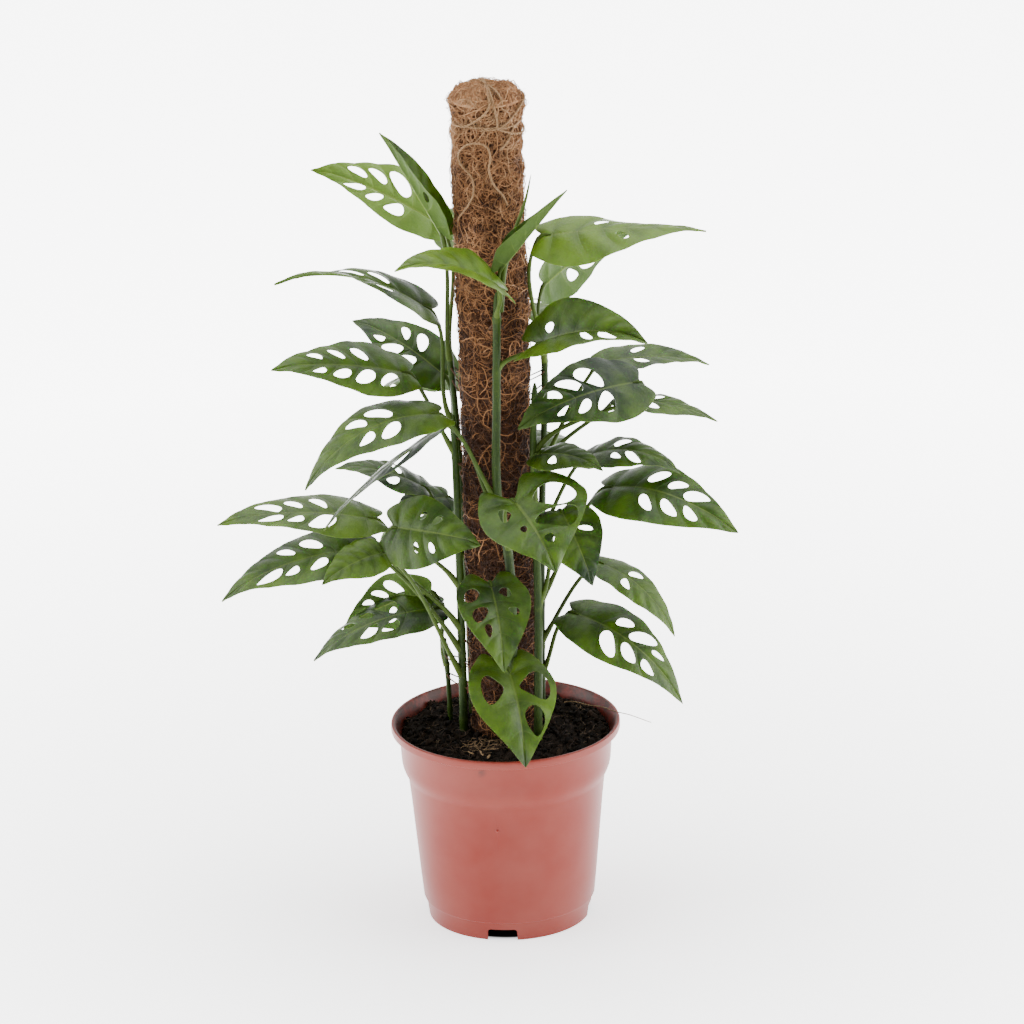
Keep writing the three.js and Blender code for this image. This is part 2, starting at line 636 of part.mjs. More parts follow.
// Coir sleeve: a rough fibre sleeve about the stake, pinched by the tie near the top,
// bulging over it and closed across the top.
function coirSleeve() {
  const outline = [];
  for (let k = 0; k <= POLE_RINGS; k += 1) {
    outline.push([POLE_RADIUS, POLE_BOTTOM_Z + (POLE_ROUGH_TOP_Z - POLE_BOTTOM_Z) * k / POLE_RINGS]);
  }
  outline.push(POLE_NECK, [PINCH_RADIUS, TIE_Z], ...POLE_CROWN, [0, POLE_TOP_Z]);
  const outer = turned([[0, POLE_BOTTOM_Z], ...outline], POLE_SIDES);
  const at = outer.attributes.position;
  for (let i = 0; i < at.count; i += 1) {
    const z = at.getZ(i);
    const r = Math.hypot(at.getX(i), at.getY(i));
    const turn = Math.atan2(at.getY(i), at.getX(i));
    const side = Math.round(turn / (2 * Math.PI) * POLE_SIDES + POLE_SIDES) % POLE_SIDES;
    const rough = r > 0 && z < POLE_ROUGH_TOP_Z ? POLE_ROUGHNESS * (rand(Math.round(z), side) - 0.5) : 0;
    at.setX(i, (r + rough) * Math.cos(turn) + poleX(z));
    at.setY(i, (r + rough) * Math.sin(turn));
  }
  const bore = turned([
    [0, POLE_BOTTOM_Z - 5],
    [STAKE_BORE_RADIUS, POLE_BOTTOM_Z - 5],
    [STAKE_BORE_RADIUS, STAKE_TOP_Z + 0.4],
    [0, STAKE_TOP_Z + 0.4],
  ], STAKE_SIDES);
  leanOver(bore);
  return solid(outer).subtract(solid(bore));
}

// A twine strand through points given as turn, radius and height about the pole.
function strand(places, steps) {
  const points = places.map(([turn, r, z]) => {
    const angle = THREE.MathUtils.degToRad(turn);
    return new THREE.Vector3(poleX(z) + r * Math.cos(angle), r * Math.sin(angle), z);
  });
  return bentRod(new THREE.CatmullRomCurve3(points), () => TWINE_RADIUS, TWINE_SIDES, steps);
}

// Twine: one turn round the pinch, three strands over the top, and a loop that hangs
// down the front.
function twine() {
  const ring = new THREE.TorusGeometry(PINCH_RADIUS + TWINE_LIFT, TWINE_RADIUS, TWINE_SIDES, POLE_SIDES);
  ring.translate(poleX(TIE_Z), 0, TIE_Z);
  const bodies = [solid(ring)];
  for (const turn of TOP_STRAND_TURNS) {
    const over = [[PINCH_RADIUS, TIE_Z], ...POLE_CROWN];
    const rise = over.map(([r, z]) => [turn, r + TWINE_LIFT, z + (z > 640 ? 0.8 : 0)]);
    const fall = rise.map(([a, r, z]) => [a + 180, r, z]).reverse();
    bodies.push(strand([...rise, [turn, 0, POLE_TOP_Z + TWINE_LIFT], ...fall], TOP_STRAND_STEPS));
  }
  bodies.push(strand(LOOP_PLACES.map(([turn, z]) => [turn, loopRadius(z), z]), LOOP_STEPS));
  return joined(bodies);
}

function loopRadius(z) {
  const share = Math.min(1, (TIE_Z - z) / (TIE_Z - POLE_NECK[1]));
  return PINCH_RADIUS + TWINE_LIFT + share * (POLE_RADIUS + POLE_ROUGHNESS / 2 - PINCH_RADIUS);
}

function leanOver(geometry) {
  const at = geometry.attributes.position;
  for (let i = 0; i < at.count; i += 1) at.setX(i, at.getX(i) + poleX(at.getZ(i)));
}

function stake() {
  const geometry = turned([
    [0, STAKE_BOTTOM_Z],
    [STAKE_RADIUS, STAKE_BOTTOM_Z],
    [STAKE_RADIUS, STAKE_TOP_Z],
    [0, STAKE_TOP_Z],
  ], STAKE_SIDES);
  leanOver(geometry);
  return solid(geometry);
}

const group = new THREE.Group();

function add(name, body, color, roughness) {
  const material = new THREE.MeshStandardMaterial({ color, roughness });
  material.name = name;
  const mesh = new THREE.Mesh(geometryOf(body), material);
  mesh.name = name;
  group.add(mesh);
}

add('pot', pot(), 0xb46757, 0.45);
add('soil', soil(), 0x1c1711, 0.95);
add('pole_stake', stake(), 0xb08a5a, 0.8);
add('coir_sleeve', coirSleeve(), 0x896544, 0.95);
add('twine', twine(), 0xb99a6b, 0.9);
Object.entries(VINES).forEach(([name, vine], i) => {
  add(name, leafyStem(vine, i + 1), 0x4f6532, 0.5);
});

export default group;
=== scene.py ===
"""A potted swiss cheese vine on a coir pole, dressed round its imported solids.

Laid out as an add-on and run as a script: the operators build the pot, the soil, the
pole, the twine, the leafy stems and the studio, one after the other.
"""

import math

import bmesh
import bpy
import numpy as np
from bpy.props import FloatProperty, FloatVectorProperty, IntProperty, PointerProperty
from mathutils import Matrix, Vector, noise


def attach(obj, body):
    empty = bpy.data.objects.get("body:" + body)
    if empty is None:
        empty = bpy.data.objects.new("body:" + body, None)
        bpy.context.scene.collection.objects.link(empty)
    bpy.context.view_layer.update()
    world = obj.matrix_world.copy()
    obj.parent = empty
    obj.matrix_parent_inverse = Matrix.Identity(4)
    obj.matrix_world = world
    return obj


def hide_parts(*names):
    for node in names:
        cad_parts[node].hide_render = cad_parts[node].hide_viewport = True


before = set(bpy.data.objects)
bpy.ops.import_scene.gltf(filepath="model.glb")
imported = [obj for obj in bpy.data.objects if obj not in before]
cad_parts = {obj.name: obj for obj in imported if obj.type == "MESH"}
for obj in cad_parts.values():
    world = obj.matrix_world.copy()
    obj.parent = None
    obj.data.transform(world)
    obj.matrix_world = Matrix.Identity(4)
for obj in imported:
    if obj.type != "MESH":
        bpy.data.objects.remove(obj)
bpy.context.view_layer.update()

bl_info = {
    "name": "Potted Swiss Cheese Vine",
    "version": (1, 0, 0),
    "blender": (4, 5, 0),
    "location": "View3D > Sidebar > Vine",
    "description": "Builds a swiss cheese vine on a coir pole in a nursery pot",
    "category": "Object",
}

MM = 0.001
NOISE_LOW = 0.3
NOISE_HIGH = 0.7

# Camera, worked out from the photograph; millimetres and degrees.
CAMERA_TARGET = (8.315, 5.469, 314.629)
CAMERA_DISTANCE = 6000
CAMERA_TILT = 20.5
CAMERA_ROLL = 1.3
CAMERA_LENS = 286.7

# Light: how bright the world and the floor are by themselves. The floor glows less near the pot, a painted
# soft shadow round its foot.
WORLD_BEHIND = 1.6
WORLD_FRONT = 0.45
GLOW_NEAR = 1.5
GLOW_FAR = 6.0

# Lamps: name, place, width, power. Sizes of the studio are in metres.
LAMPS = (("left", (-1.8, -0.3, 1.0), 2.0, 50), ("right", (1.8, -0.3, 1.0), 2.0, 50),
         ("top", (0.0, 0.3, 2.6), 2.5, 64))
LAMP_AIM = (0, 0, 0.3)
FLOOR_SIZE = 30

# Pot: radius and height pairs in millimetres, from the floor up the inside of the wall,
# over the rim, down the outside and under the floor. Roundings, drains and nub in metres.
POT_SECTION = (
    (60.4, 11.5), (62.0, 15.0), (71.4, 109.5), (75.4, 118.0), (76.2, 124.0), (77.6, 144.2), (80.6, 149.6),
    (81.9, 151.9), (82.6, 152.4), (83.9, 152.5), (84.7, 152.1), (85.0, 151.2), (85.0, 147.6), (84.7, 146.8),
    (84.0, 146.4), (79.9, 145.9), (79.0, 144.2), (77.9, 127.0), (77.6, 123.0), (76.9, 119.4), (75.5, 115.6),
    (73.9, 112.4), (72.9, 109.4), (71.0, 92.0), (68.6, 66.0), (66.0, 38.0), (63.8, 16.2), (63.3, 15.0),
    (62.3, 14.4), (61.9, 13.6), (60.6, 4.0), (60.1, 0.4), (59.7, 0.0), (58.5, 0.0), (59.0, 9.5),
    (10.0, 9.5), (9.0, 0.0),
)
FLOOR_TOP_Z = 11.5
NOTCH_SIZE = (22.0, 12.0, 18.0)
NOTCH_TURN = -5.5
NOTCH_COUNT = 4
DRAIN_COUNT = 6
NOTCH_RING_RADIUS = 60.0
NOTCH_ROUND = 0.0025
DRAIN_RING_RADIUS = 42.0
DRAIN_RADIUS = 0.0035
POT_STEPS = 144
POT_EDGE_ROUND = 0.00035
NUB_PLACE = (-0.0078, -0.0706, 0.0926)
NUB_RADIUS = 0.0012
BLOT_PLACE = (-0.0195, -0.0775, 0.142)

# Soil, in millimetres.
SOIL_TOP_Z = 143.5
SOIL_RADIUS = 76.8
SOIL_DEPTH = 20.0
SOIL_STEPS = 120
SOIL_RINGS = 46
SOIL_RING_WIDTH = 1.62
SOIL_TAPER = 0.985
CRUMB_REACH = 76.0
CRUMB_CLEAR_OF_POLE = 27
LITTER_COUNT = 230
LITTER_REACH = 75.5
OVER_RIM = ((44, 39, 149.5), (52, 35, 151), (61, 28, 152), (70, 18, 153.6), (79, 8, 155),
            (88, 2, 154.6), (98, -2, 152), (108, -5, 150))
CHIPS = ((-18, -56, 1.9, 6), (-13, -60, 1.2, 5), (-26, -52, 2.6, 5), (40, -62, 0.3, 4))

# Climbing pole, in millimetres: it leans a little to the left.
POLE_FOOT_X = 2.1
POLE_LEAN = -0.0105
POLE_BOTTOM_Z = 30.0
POLE_RADIUS = 25.2
POLE_HEAD = ((25.6, 600), (25.6, 611), (24.6, 616.5), (23.8, 621), (24.8, 625), (26.4, 629),
             (26.9, 633), (26.2, 637), (24.4, 640), (21.0, 642.4), (16.0, 644.2), (10.0, 645.2),
             (4.0, 645.0), (0.0, 644.6))
POLE_STEPS = 72
SLEEVE_RINGS = 150
SLEEVE_TOP_Z = 640
FIBRE_LOWEST_Z = 122
FIBRE_START_Z = 124
FIBRE_TOP_Z = 641
CROWN_FIBRES = 3600
CROWN_REACH = 26.2
LOOSE_FIBRES = 1900
STRANDS = 150
TIE_Z = 621.0
HEAD_CREASES = (-75, -38, -128, 20, 95, 160)
MAT_BANDS = 4

# Leaves: where side veins leave the midrib, and how the blade grid is divided.
VEIN_START = 0.07
VEIN_COUNT = 6
CELL_MAP = 0.1
HOLE_CELL_ORDER = (1, 2, 3, 0, 4)
U_STATIONS = (0.0, 0.035, 0.09, 0.19, 0.32, 0.47, 0.62, 0.76, 0.89, 1.0)
CELL_ROWS = 7
HOLE_SHARES = (0, 0.3, 0.6, 0.84, 1.0)

# Stems and stalks: sides of their rods, and the bare joints low on a stem, in millimetres.
STEM_SIDES = 14
STALK_SIDES = 10
FIRST_JOINT_Z = 158.0
JOINT_GAP = 34
ROOTS_FROM_Z = 165
FRONT_STEM = 1
BACK_STEM = 7
SHOOT_LINE = ((3, -38, 486), (6, -39, 515), (14, -41, 545), (23, -44, 572), (27.5, -45, 592))

def blade(start, base, tip, width, roll, **more):
    """One leaf: the height its stalk leaves the stem, blade base and tip, width and roll."""
    return {"from": start, "base": base, "tip": tip, "width": width, "roll": roll, **more}


# The leafy stems, in millimetres: the same lines and leaves as the solids have. `veins`
# is how many side veins each half of a blade has. `holes` is how many cells of each half
# are pierced and `pierce` their size; `open` gives the holes one by one instead: half,
# cell, how far out, half length out, half width as a share of the cell. `tone` is the
# leaf's age, from 0, old and dark, to 1 and past it, young and yellow-green.
VINES = {
    "vine_front": {
        "line": ((5, -37, 100), (5, -37, 150), (6, -37, 285), (-2, -36, 345), (-1, -36, 420),
                 (1, -36, 500)),
        "thick": (4.3, 3.2),
        "leaves": (
            blade(480, (1, -56, 511), (-72, -84, 536), 46, 14, fold=16, arch=0.13, lobe=0.24,
                  holes=(0, 0), tone=0.72),
            blade(482, (4, -41, 519), (53, -56, 584), 17, 25, fold=66, cup=-0.5, holes=(0, 0),
                  tone=0.4),
            blade(440, (29, -36, 459), (109, -62, 470), 62, 26, fold=26, arch=0.14, lobe=0.22,
                  open=((1, 3, 0.46, 0.3, 0.2), (1, 4, 0.5, 0.3, 0.3), (-1, 1, 0.3, 0.12, 0.2)),
                  tone=0.4),
            blade(336, (-43, -40, 409), (-141, -76, 368), 58, 12, arch=0.17, holes=(2, 2), tone=0.4),
            blade(318, (-38, -36, 399), (-129, -64, 331), 34, -15, arch=0.04, holes=(1, 1), tone=0.1),
            blade(300, (9, -74, 354), (39, -112, 315), 84, 20, fold=4, arch=0.1, asym=-0.22, lobe=0.42,
                  veins=4, open=((-1, 1, 0.55, 0.29, 0.38), (-1, 2, 0.48, 0.35, 0.42),
                  (-1, 3, 0.2, 0.1, 0.18), (1, 1, 0.42, 0.13, 0.22), (1, 2, 0.25, 0.09, 0.14)),
                  tone=0.35),
            blade(236, (-9, -48, 280), (0, -90, 228), 56, 0, fold=12, arch=0.14, lobe=0.18, veins=5,
                  open=((1, 1, 0.6, 0.15, 0.26), (1, 2, 0.5, 0.2, 0.26), (1, 3, 0.42, 0.13, 0.3),
                  (-1, 1, 0.34, 0.13, 0.2), (-1, 2, 0.5, 0.12, 0.16)), tone=0.3),
            blade(165, (3, -50, 213), (14, -94, 155), 66, 0, fold=8, arch=0.14, lobe=0.3, veins=3,
                  open=((-1, 1, 0.5, 0.3, 0.25), (-1, 2, 0.5, 0.3, 0.4), (1, 1, 0.5, 0.2, 0.26)),
                  tone=0.42),
        ),
    },
    "vine_left": {
        "line": ((-31, -6, 100), (-31, -6, 150), (-31, -9, 251), (-32, -12, 346), (-33, -12, 398)),
        "thick": (3.7, 2.8),
        "leaves": (
            blade(388, (-47, -5, 476), (-160, -30, 510), 56, -8, fold=6, arch=0.12, twist=-60,
                  holes=(3, 2), tone=0.35),
            blade(368, (-64, -10, 430), (-164, -40, 448), 60, 22, arch=0.05, holes=(3, 4), tone=0.5),
            blade(262, (-91, -20, 321), (-207, -40, 329), 58, 12, arch=0.06, holes=(3, 3), tone=0.6),
            blade(228, (-79, -48, 325), (-15, -78, 323), 56, 55, arch=0.08, lobe=0.2, pierce=0.55,
                  holes=(2, 2), tone=0.35),
            blade(210, (-95, -37, 304), (-205, -57, 276), 62, 15, arch=0.1, holes=(2, 3), tone=0.42),
            blade(190, (-85, -54, 308), (-131, -80, 295), 36, 30, arch=0.1, holes=(0, 0), tone=0.5),
        ),
    },
    "vine_left_back": {
        "line": ((-24, 26, 100), (-24, 26, 150), (-27, 21, 300), (-32, 14, 400), (-35, 8, 440)),
        "thick": (3.5, 2.6),
        "leaves": (
            blade(424, (-39, 30, 531), (-133, 56, 569), 66, -62, arch=0.05, asym=-0.2, lobe=0.16,
                  holes=(3, 3), tone=1.5),
            blade(434, (-38, -6, 535), (-81, -16, 618), 34, 20, fold=54, holes=(0, 1), tone=0.5),
            blade(350, (-38, 26, 414), (-106, 58, 450), 50, 25, arch=0.08, holes=(2, 3), tone=0.3),
            blade(272, (-55, 14, 332), (-121, 18, 349), 44, 5, arch=0.08, holes=(1, 1), tone=0.25),
            blade(250, (-38, 26, 320), (-78, 8, 318), 40, 20, arch=0.05, holes=(1, 1), tone=0.2),
        ),
    },
    "vine_right": {
        "line": ((24, -28, 100), (24, -28, 150), (26, -25, 250), (25, -25.5, 374), (27, -23, 425)),
        "thick": (3.8, 2.8),
        "leaves": (
            blade(372, (104, -8, 419), (14, -52, 403), 66, 27, arch=0.08, holes=(3, 3), tone=0.22),
            blade(352, (88, 5, 402), (160, -10, 389), 36, 2, arch=0.05, holes=(1, 1), tone=0.3),
            blade(300, (62, -12, 363), (132, -28, 356), 46, 8, arch=0.16, holes=(2, 1), tone=0.3),
            blade(330, (27, -30, 372), (75, -60, 371), 40, 10, arch=0.1, holes=(1, 0), tone=0.35),
            blade(252, (44, -20, 325), (66, -54, 280), 50, 20, arch=0.12, holes=(1, 1), tone=0.25),
        ),
    },
    "vine_right_back": {
        "line": ((27, 20, 100), (27, 20, 150), (30, 15, 300), (34, 7, 400), (35, 2, 450)),
        "thick": (3.6, 2.6),
        "leaves": (
            blade(432, (34, -8, 533), (153, -35, 545), 56, 8, fold=-11, arch=0.03, twist=-45,
                  open=((-1, 2, 0.42, 0.17, 0.2), (-1, 5, 0.45, 0.28, 0.3), (1, 3, 0.4, 0.14, 0.14)),
                  tone=0.95),
            blade(420, (35, 16, 487), (102, 76, 510), 56, -78, arch=0.05, holes=(3, 3), tone=0.4),
            blade(350, (75, 30, 421), (156, 42, 415), 44, 5, fold=10, arch=0.06, holes=(1, 1),
                  tone=0.4),
            blade(240, (76, -14, 339), (173, -48, 317), 62, 28, arch=0.15, twist=24, holes=(3, 3),
                  tone=0.35),
            blade(206, (71, 10, 272), (126, -20, 225), 35, 8, arch=0.14, holes=(1, 1), tone=0.45),
            blade(180, (50, 5, 235), (131, -30, 176), 52, 25, arch=0.17, holes=(3, 3), tone=0.42),
        ),
    },
    "vine_low_left": {
        "line": ((-41, 18, 100), (-41, 18, 150), (-42, 17, 180), (-44, 15, 212)),
        "thick": (2.4, 1.9),
        "leaves": (
            blade(190, (-52, 24, 246), (-119, 34, 216), 56, -72, arch=0.1, holes=(3, 3), tone=0.5),
            blade(206, (-48, 14, 237), (-141, 10, 201), 54, 15, arch=0.1, holes=(3, 2), tone=0.2),
        ),
    },
    "vine_back": {
        "line": ((0, 38, 100), (0, 38, 150), (-3, 37, 260), (2, 37, 360), (-3, 37, 440)),
        "thick": (3.8, 2.8),
        "leaves": (
            blade(430, (-10, 52, 500), (-40, 128, 510), 56, 5, arch=0.1, holes=(3, 2), tone=0.45),
            blade(392, (22, 62, 446), (70, 138, 428), 58, -5, arch=0.1, holes=(2, 3), tone=0.5),
            blade(336, (-24, 70, 394), (-88, 132, 366), 56, 5, arch=0.12, holes=(3, 2), tone=0.36),
            blade(286, (16, 72, 340), (30, 160, 312), 60, 0, arch=0.12, holes=(2, 2), tone=0.32),
            blade(232, (-30, 66, 290), (-92, 122, 250), 54, 5, arch=0.12, holes=(2, 2), tone=0.4),
            blade(196, (8, 62, 236), (14, 136, 190), 52, 0, arch=0.12, holes=(2, 1), tone=0.35),
        ),
    },
}


# Sizes and colours to change in the panel

def length_of(name, description, default):
    return FloatProperty(name=name, description=description, default=default, unit="LENGTH")


def paint(name, description, default):
    return FloatVectorProperty(
        name=name, description=description, subtype="COLOR", size=3, default=default)


class VineSizes(bpy.types.PropertyGroup):
    """Sizes and counts that the pieces are built from."""

    blade_thickness: length_of("Blade thickness", "Thickness of a leaf blade", 0.00055)
    quilting: length_of("Quilting", "How far a blade rises between two side veins", 0.0015)
    midrib: length_of("Midrib", "How far the midrib stands out under a blade", 0.0009)
    coir_relief: length_of("Coir relief", "Depth of the lumps in the coir sleeve", 0.0021)
    fibre_radius: length_of("Fibre radius", "Radius of a coir fibre", 0.00023)
    fibres: IntProperty(
        name="Fibres", description="Coir fibres laid on each quarter of the pole", default=3600)
    crumbs: IntProperty(name="Crumbs", description="Crumbs of soil on the surface", default=2400)
    twine_radius: length_of("Twine radius", "Radius of the tying twine", 0.0009)


class VineColours(bpy.types.PropertyGroup):
    """Base colours of the pieces."""

    pot: paint("Pot", "Pot plastic", (0.158, 0.0095, 0.0022))
    leaf_dark: paint("Old leaf", "Upper side of an old leaf", (0.0045, 0.0165, 0.0012))
    leaf_light: paint("Young leaf", "Upper side of a young leaf", (0.085, 0.15, 0.0075))
    leaf_pale: paint("Vein", "Veins and margins", (0.12, 0.17, 0.03))
    underside: paint("Leaf underside", "Lower side of a leaf", (0.036, 0.066, 0.014))
    stalk: paint("Leaf stalk", "Leaf stalks", (0.026, 0.052, 0.004))
    stalk_deep: paint("Leaf stalk shade", "Darker streaks of the stalks", (0.01, 0.024, 0.002))
    stem: paint("Stem", "Climbing stems", (0.02, 0.042, 0.003))
    stem_deep: paint("Stem shade", "Darker streaks of the stems", (0.007, 0.018, 0.0015))
    coir: paint("Coir", "Coir fibre", (0.315, 0.148, 0.06))
    # Coir in the gaps between the fibres is painted dark as shade. The darkest fibres take this colour too.
    coir_dark_and_shade: paint("Deep coir", "Coir seen between the fibres", (0.03, 0.0105, 0.0038))
    twine: paint("Twine", "Jute twine", (0.26, 0.145, 0.058))
    soil: paint("Soil", "Potting soil", (0.024, 0.0155, 0.0095))
    wood: paint("Stake", "Wooden stake", (0.2, 0.12, 0.055))


def sizes():
    return bpy.context.scene.vine_sizes


def colours():
    return bpy.context.scene.vine_colours


# Small tools

def rand(i, j):
    """Number from 0 to 1, always the same for the same two numbers."""
    s = math.sin(12.9898 * i + 78.233 * j) * 43758.5453
    return s - math.floor(s)


def unit(v):
    """Vectors at length one."""
    return v / np.linalg.norm(v, axis=-1, keepdims=True)


def smooth(low, high, value):
    """Soft step from 0 to 1 between two values."""
    share = np.clip((value - low) / (high - low), 0, 1)
    return share * share * (3 - 2 * share)


def pole_x(z):
    """The pole's middle at a height, with its lean."""
    return POLE_FOOT_X + POLE_LEAN * (z - POLE_BOTTOM_Z)


def fresh():
    """Back to object mode with nothing selected."""
    if bpy.context.object and bpy.context.object.mode != "OBJECT":
        bpy.ops.object.mode_set(mode="OBJECT")
    bpy.ops.object.select_all(action="DESELECT")


def pick(piece):
    fresh()
    piece.select_set(True)
    bpy.context.view_layer.objects.active = piece


def editing(piece, mode="VERT"):
    pick(piece)
    bpy.ops.object.mode_set(mode="EDIT")
    bpy.ops.mesh.select_mode(type=mode)
    bpy.ops.mesh.select_all(action="SELECT")


def apply_modifier(piece, kind, **settings):
    pick(piece)
    modifier = piece.modifiers.new(kind.title(), kind)
    for key, value in settings.items():
        setattr(modifier, key, value)
    bpy.ops.object.modifier_apply(modifier=modifier.name)


def settle(piece, angle):
    """Puts the place and size into the mesh, turns the faces outward and smooths them."""
    pick(piece)
    bpy.ops.object.transform_apply(location=True, rotation=True, scale=True)
    bpy.ops.object.mode_set(mode="EDIT")
    bpy.ops.mesh.select_all(action="SELECT")
    bpy.ops.mesh.normals_make_consistent(inside=False)
    bpy.ops.object.mode_set(mode="OBJECT")
    bpy.ops.object.shade_smooth_by_angle(angle=math.radians(angle))


def mesh_piece(name, points, faces, looks, face_looks, spots, tones):
    """A piece straight from points in millimetres, with a flat map and a tone per point."""
    mesh = bpy.data.meshes.new(name)
    mesh.from_pydata((np.asarray(points) * MM).tolist(), [], faces)
    for look in looks:
        mesh.materials.append(look)
    mesh.polygons.foreach_set("material_index", np.asarray(face_looks, np.int32))
    layer = mesh.uv_layers.new(name="UVMap")
    corners = np.zeros(len(mesh.loops), np.int32)
    mesh.loops.foreach_get("vertex_index", corners)
    layer.data.foreach_set("uv", np.asarray(spots, np.float32)[corners].ravel())
    layer = mesh.attributes.new("tone", "FLOAT", "POINT")
    layer.data.foreach_set("value", np.asarray(tones, np.float32))
    mesh.update()
    piece = bpy.data.objects.new(name, mesh)
    bpy.context.collection.objects.link(piece)
    return piece


def finish_piece(piece, slot, *nodes):
    """Hands a finished piece over: its body, and the solids it stands for, which are hidden. The slot is not
    used.
    """
    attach(piece, "root")
    if nodes:
        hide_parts(*nodes)


def round_off(piece, distance, angle):
    """Joins doubled points of a built mesh and smooths what is smooth."""
    editing(piece)
    bpy.ops.mesh.remove_doubles(threshold=distance * MM)
    bpy.ops.mesh.dissolve_degenerate(threshold=0.001 * MM)
    bpy.ops.object.mode_set(mode="OBJECT")
    bpy.ops.object.shade_smooth_by_angle(angle=math.radians(angle))


# Curves and tubes

def spline(points, count):
    """Points along a smooth line through the given ones, as the solids' lines run."""
    pts = [np.array(p, float) for p in points]
    pts = [2 * pts[0] - pts[1]] + pts + [2 * pts[-1] - pts[-2]]
    spans = len(pts) - 3
    out = []
    for i in range(count + 1):
        place = spans * i / count
        k = min(int(place), spans - 1)
        s = place - k
        a, b, c, d = pts[k:k + 4]
        gaps = [np.linalg.norm(q - p) ** 0.5 or 1.0 for p, q in ((a, b), (b, c), (c, d))]
        run_in = ((b - a) / gaps[0] - (c - a) / (gaps[0] + gaps[1]) + (c - b) / gaps[1]) * gaps[1]
        run_out = ((c - b) / gaps[1] - (d - b) / (gaps[1] + gaps[2]) + (d - c) / gaps[2]) * gaps[1]
        out.append(b + run_in * s + (3 * (c - b) - 2 * run_in - run_out) * s * s
                   + (2 * (b - c) + run_in + run_out) * s ** 3)
    return np.array(out)


def even(points, count):
    """The same line as points at even distances."""
    points = np.asarray(points, float)
    steps = np.linalg.norm(np.diff(points, axis=0), axis=1)
    run = np.concatenate(([0], np.cumsum(steps)))
    at = np.linspace(0, run[-1], count + 1)
    return np.stack([np.interp(at, run, points[:, k]) for k in range(3)], axis=1)


def side_frames(points):
    """Two directions across a line at each point, carried along it without twisting."""
    ahead = unit(np.gradient(points, axis=0))
    start = np.array([0.0, 0, 1]) if abs(ahead[0][2]) < 0.9 else np.array([1.0, 0, 0])
    first = unit(np.cross(ahead[0], start))
    rows = []
    for direction in ahead:
        first = unit(first - direction * (first @ direction))
        rows.append((first, np.cross(direction, first)))
    return np.array([r[0] for r in rows]), np.array([r[1] for r in rows])


def tube(points, radii, sides, squeeze=1.0):
    """A closed rod along points: its corners and its faces."""
    across, up = side_frames(points)
    turns = 2 * math.pi * np.arange(sides) / sides
    radii = np.broadcast_to(np.asarray(radii, float), (len(points),))
    rings = (points[:, None] + across[:, None] * (radii[:, None] * np.cos(turns))[..., None]
             + up[:, None] * (radii[:, None] * np.sin(turns) * squeeze)[..., None])
    corners = rings.reshape(-1, 3)
    faces = []
    for k in range(len(points) - 1):
        low, high = k * sides, (k + 1) * sides
        for j in range(sides):
            i = (j + 1) % sides
            faces.append((low + j, low + i, high + i, high + j))
    faces.append(tuple(range(sides - 1, -1, -1)))
    last = (len(points) - 1) * sides
    faces.append(tuple(last + j for j in range(sides)))
    return corners, faces


class Heap:
    """Gathers corners, faces and their values for one piece."""

    def __init__(self):
        self.points, self.faces, self.looks, self.spots, self.tones = [], [], [], [], []
        self.count = 0

    def add(self, points, faces, look=0, spots=None, tones=0.5):
        self.points.append(np.asarray(points))
        count = self.count
        self.faces.extend(tuple(count + i for i in face) for face in faces)
        self.looks.extend([look] * len(faces) if np.isscalar(look) else look)
        self.spots.append(np.zeros((len(points), 2)) if spots is None else np.asarray(spots))
        self.tones.append(np.broadcast_to(np.asarray(tones, float), (len(points),)))
        self.count += len(points)

    def piece(self, name, looks):
        return mesh_piece(
            name, np.concatenate(self.points), self.faces, looks, self.looks,
            np.concatenate(self.spots), np.concatenate(self.tones))


# Materials

def step(look, kind, inputs=None, **settings):
    """One node of a material, with its inputs set or wired."""
    tree = look.node_tree
    made = tree.nodes.new(kind)
    for key, value in settings.items():
        setattr(made, key, value)
    for key, value in (inputs or {}).items():
        if isinstance(value, bpy.types.NodeSocket):
            tree.links.new(value, made.inputs[key])
        else:
            made.inputs[key].default_value = value
    return made


def calc(look, operation, first, second=0.0, third=0.0):
    made = step(look, "ShaderNodeMath", operation=operation)
    for k, value in enumerate((first, second, third)):
        if isinstance(value, bpy.types.NodeSocket):
            look.node_tree.links.new(value, made.inputs[k])
        else:
            made.inputs[k].default_value = value
    return made.outputs[0]


def blend(look, share, first, second, how="MIX"):
    made = step(look, "ShaderNodeMix", data_type="RGBA", blend_type=how)
    for k, value in ((0, share), (6, first), (7, second)):
        if isinstance(value, bpy.types.NodeSocket):
            look.node_tree.links.new(value, made.inputs[k])
        else:
            made.inputs[k].default_value = value if k == 0 else (*tuple(value)[:3], 1)
    return made.outputs[2]


def spread(look, value, low, high, to_low=0.0, to_high=1.0):
    """A value stretched from one range to another and held inside it."""
    made = step(look, "ShaderNodeMapRange", {
        "Value": value, "From Min": low, "From Max": high, "To Min": to_low, "To Max": to_high})
    return made.outputs[0]


def grain(look, scale, detail=3.0, rough=0.55, stretch=None):
    """Noise in the piece's own space; the scale is per metre."""
    place = step(look, "ShaderNodeTexCoord").outputs["Object"]
    if stretch:
        place = step(look, "ShaderNodeMapping", {"Vector": place, "Scale": stretch}).outputs[0]
    return step(look, "ShaderNodeTexNoise", {
        "Vector": place, "Scale": scale, "Detail": detail, "Roughness": rough}).outputs["Fac"]


def between(look, value, to_low=0.0, to_high=1.0):
    """Noise, which keeps mostly to the middle of its range, stretched to a wanted range."""
    return spread(look, value, NOISE_LOW, NOISE_HIGH, to_low, to_high)


def tone_of(look):
    return step(look, "ShaderNodeAttribute", attribute_name="tone").outputs["Fac"]


def new_look(name):
    """A material round one shader, which finish_look fills in."""
    look = bpy.data.materials.new(name)
    look.use_nodes = True
    return look


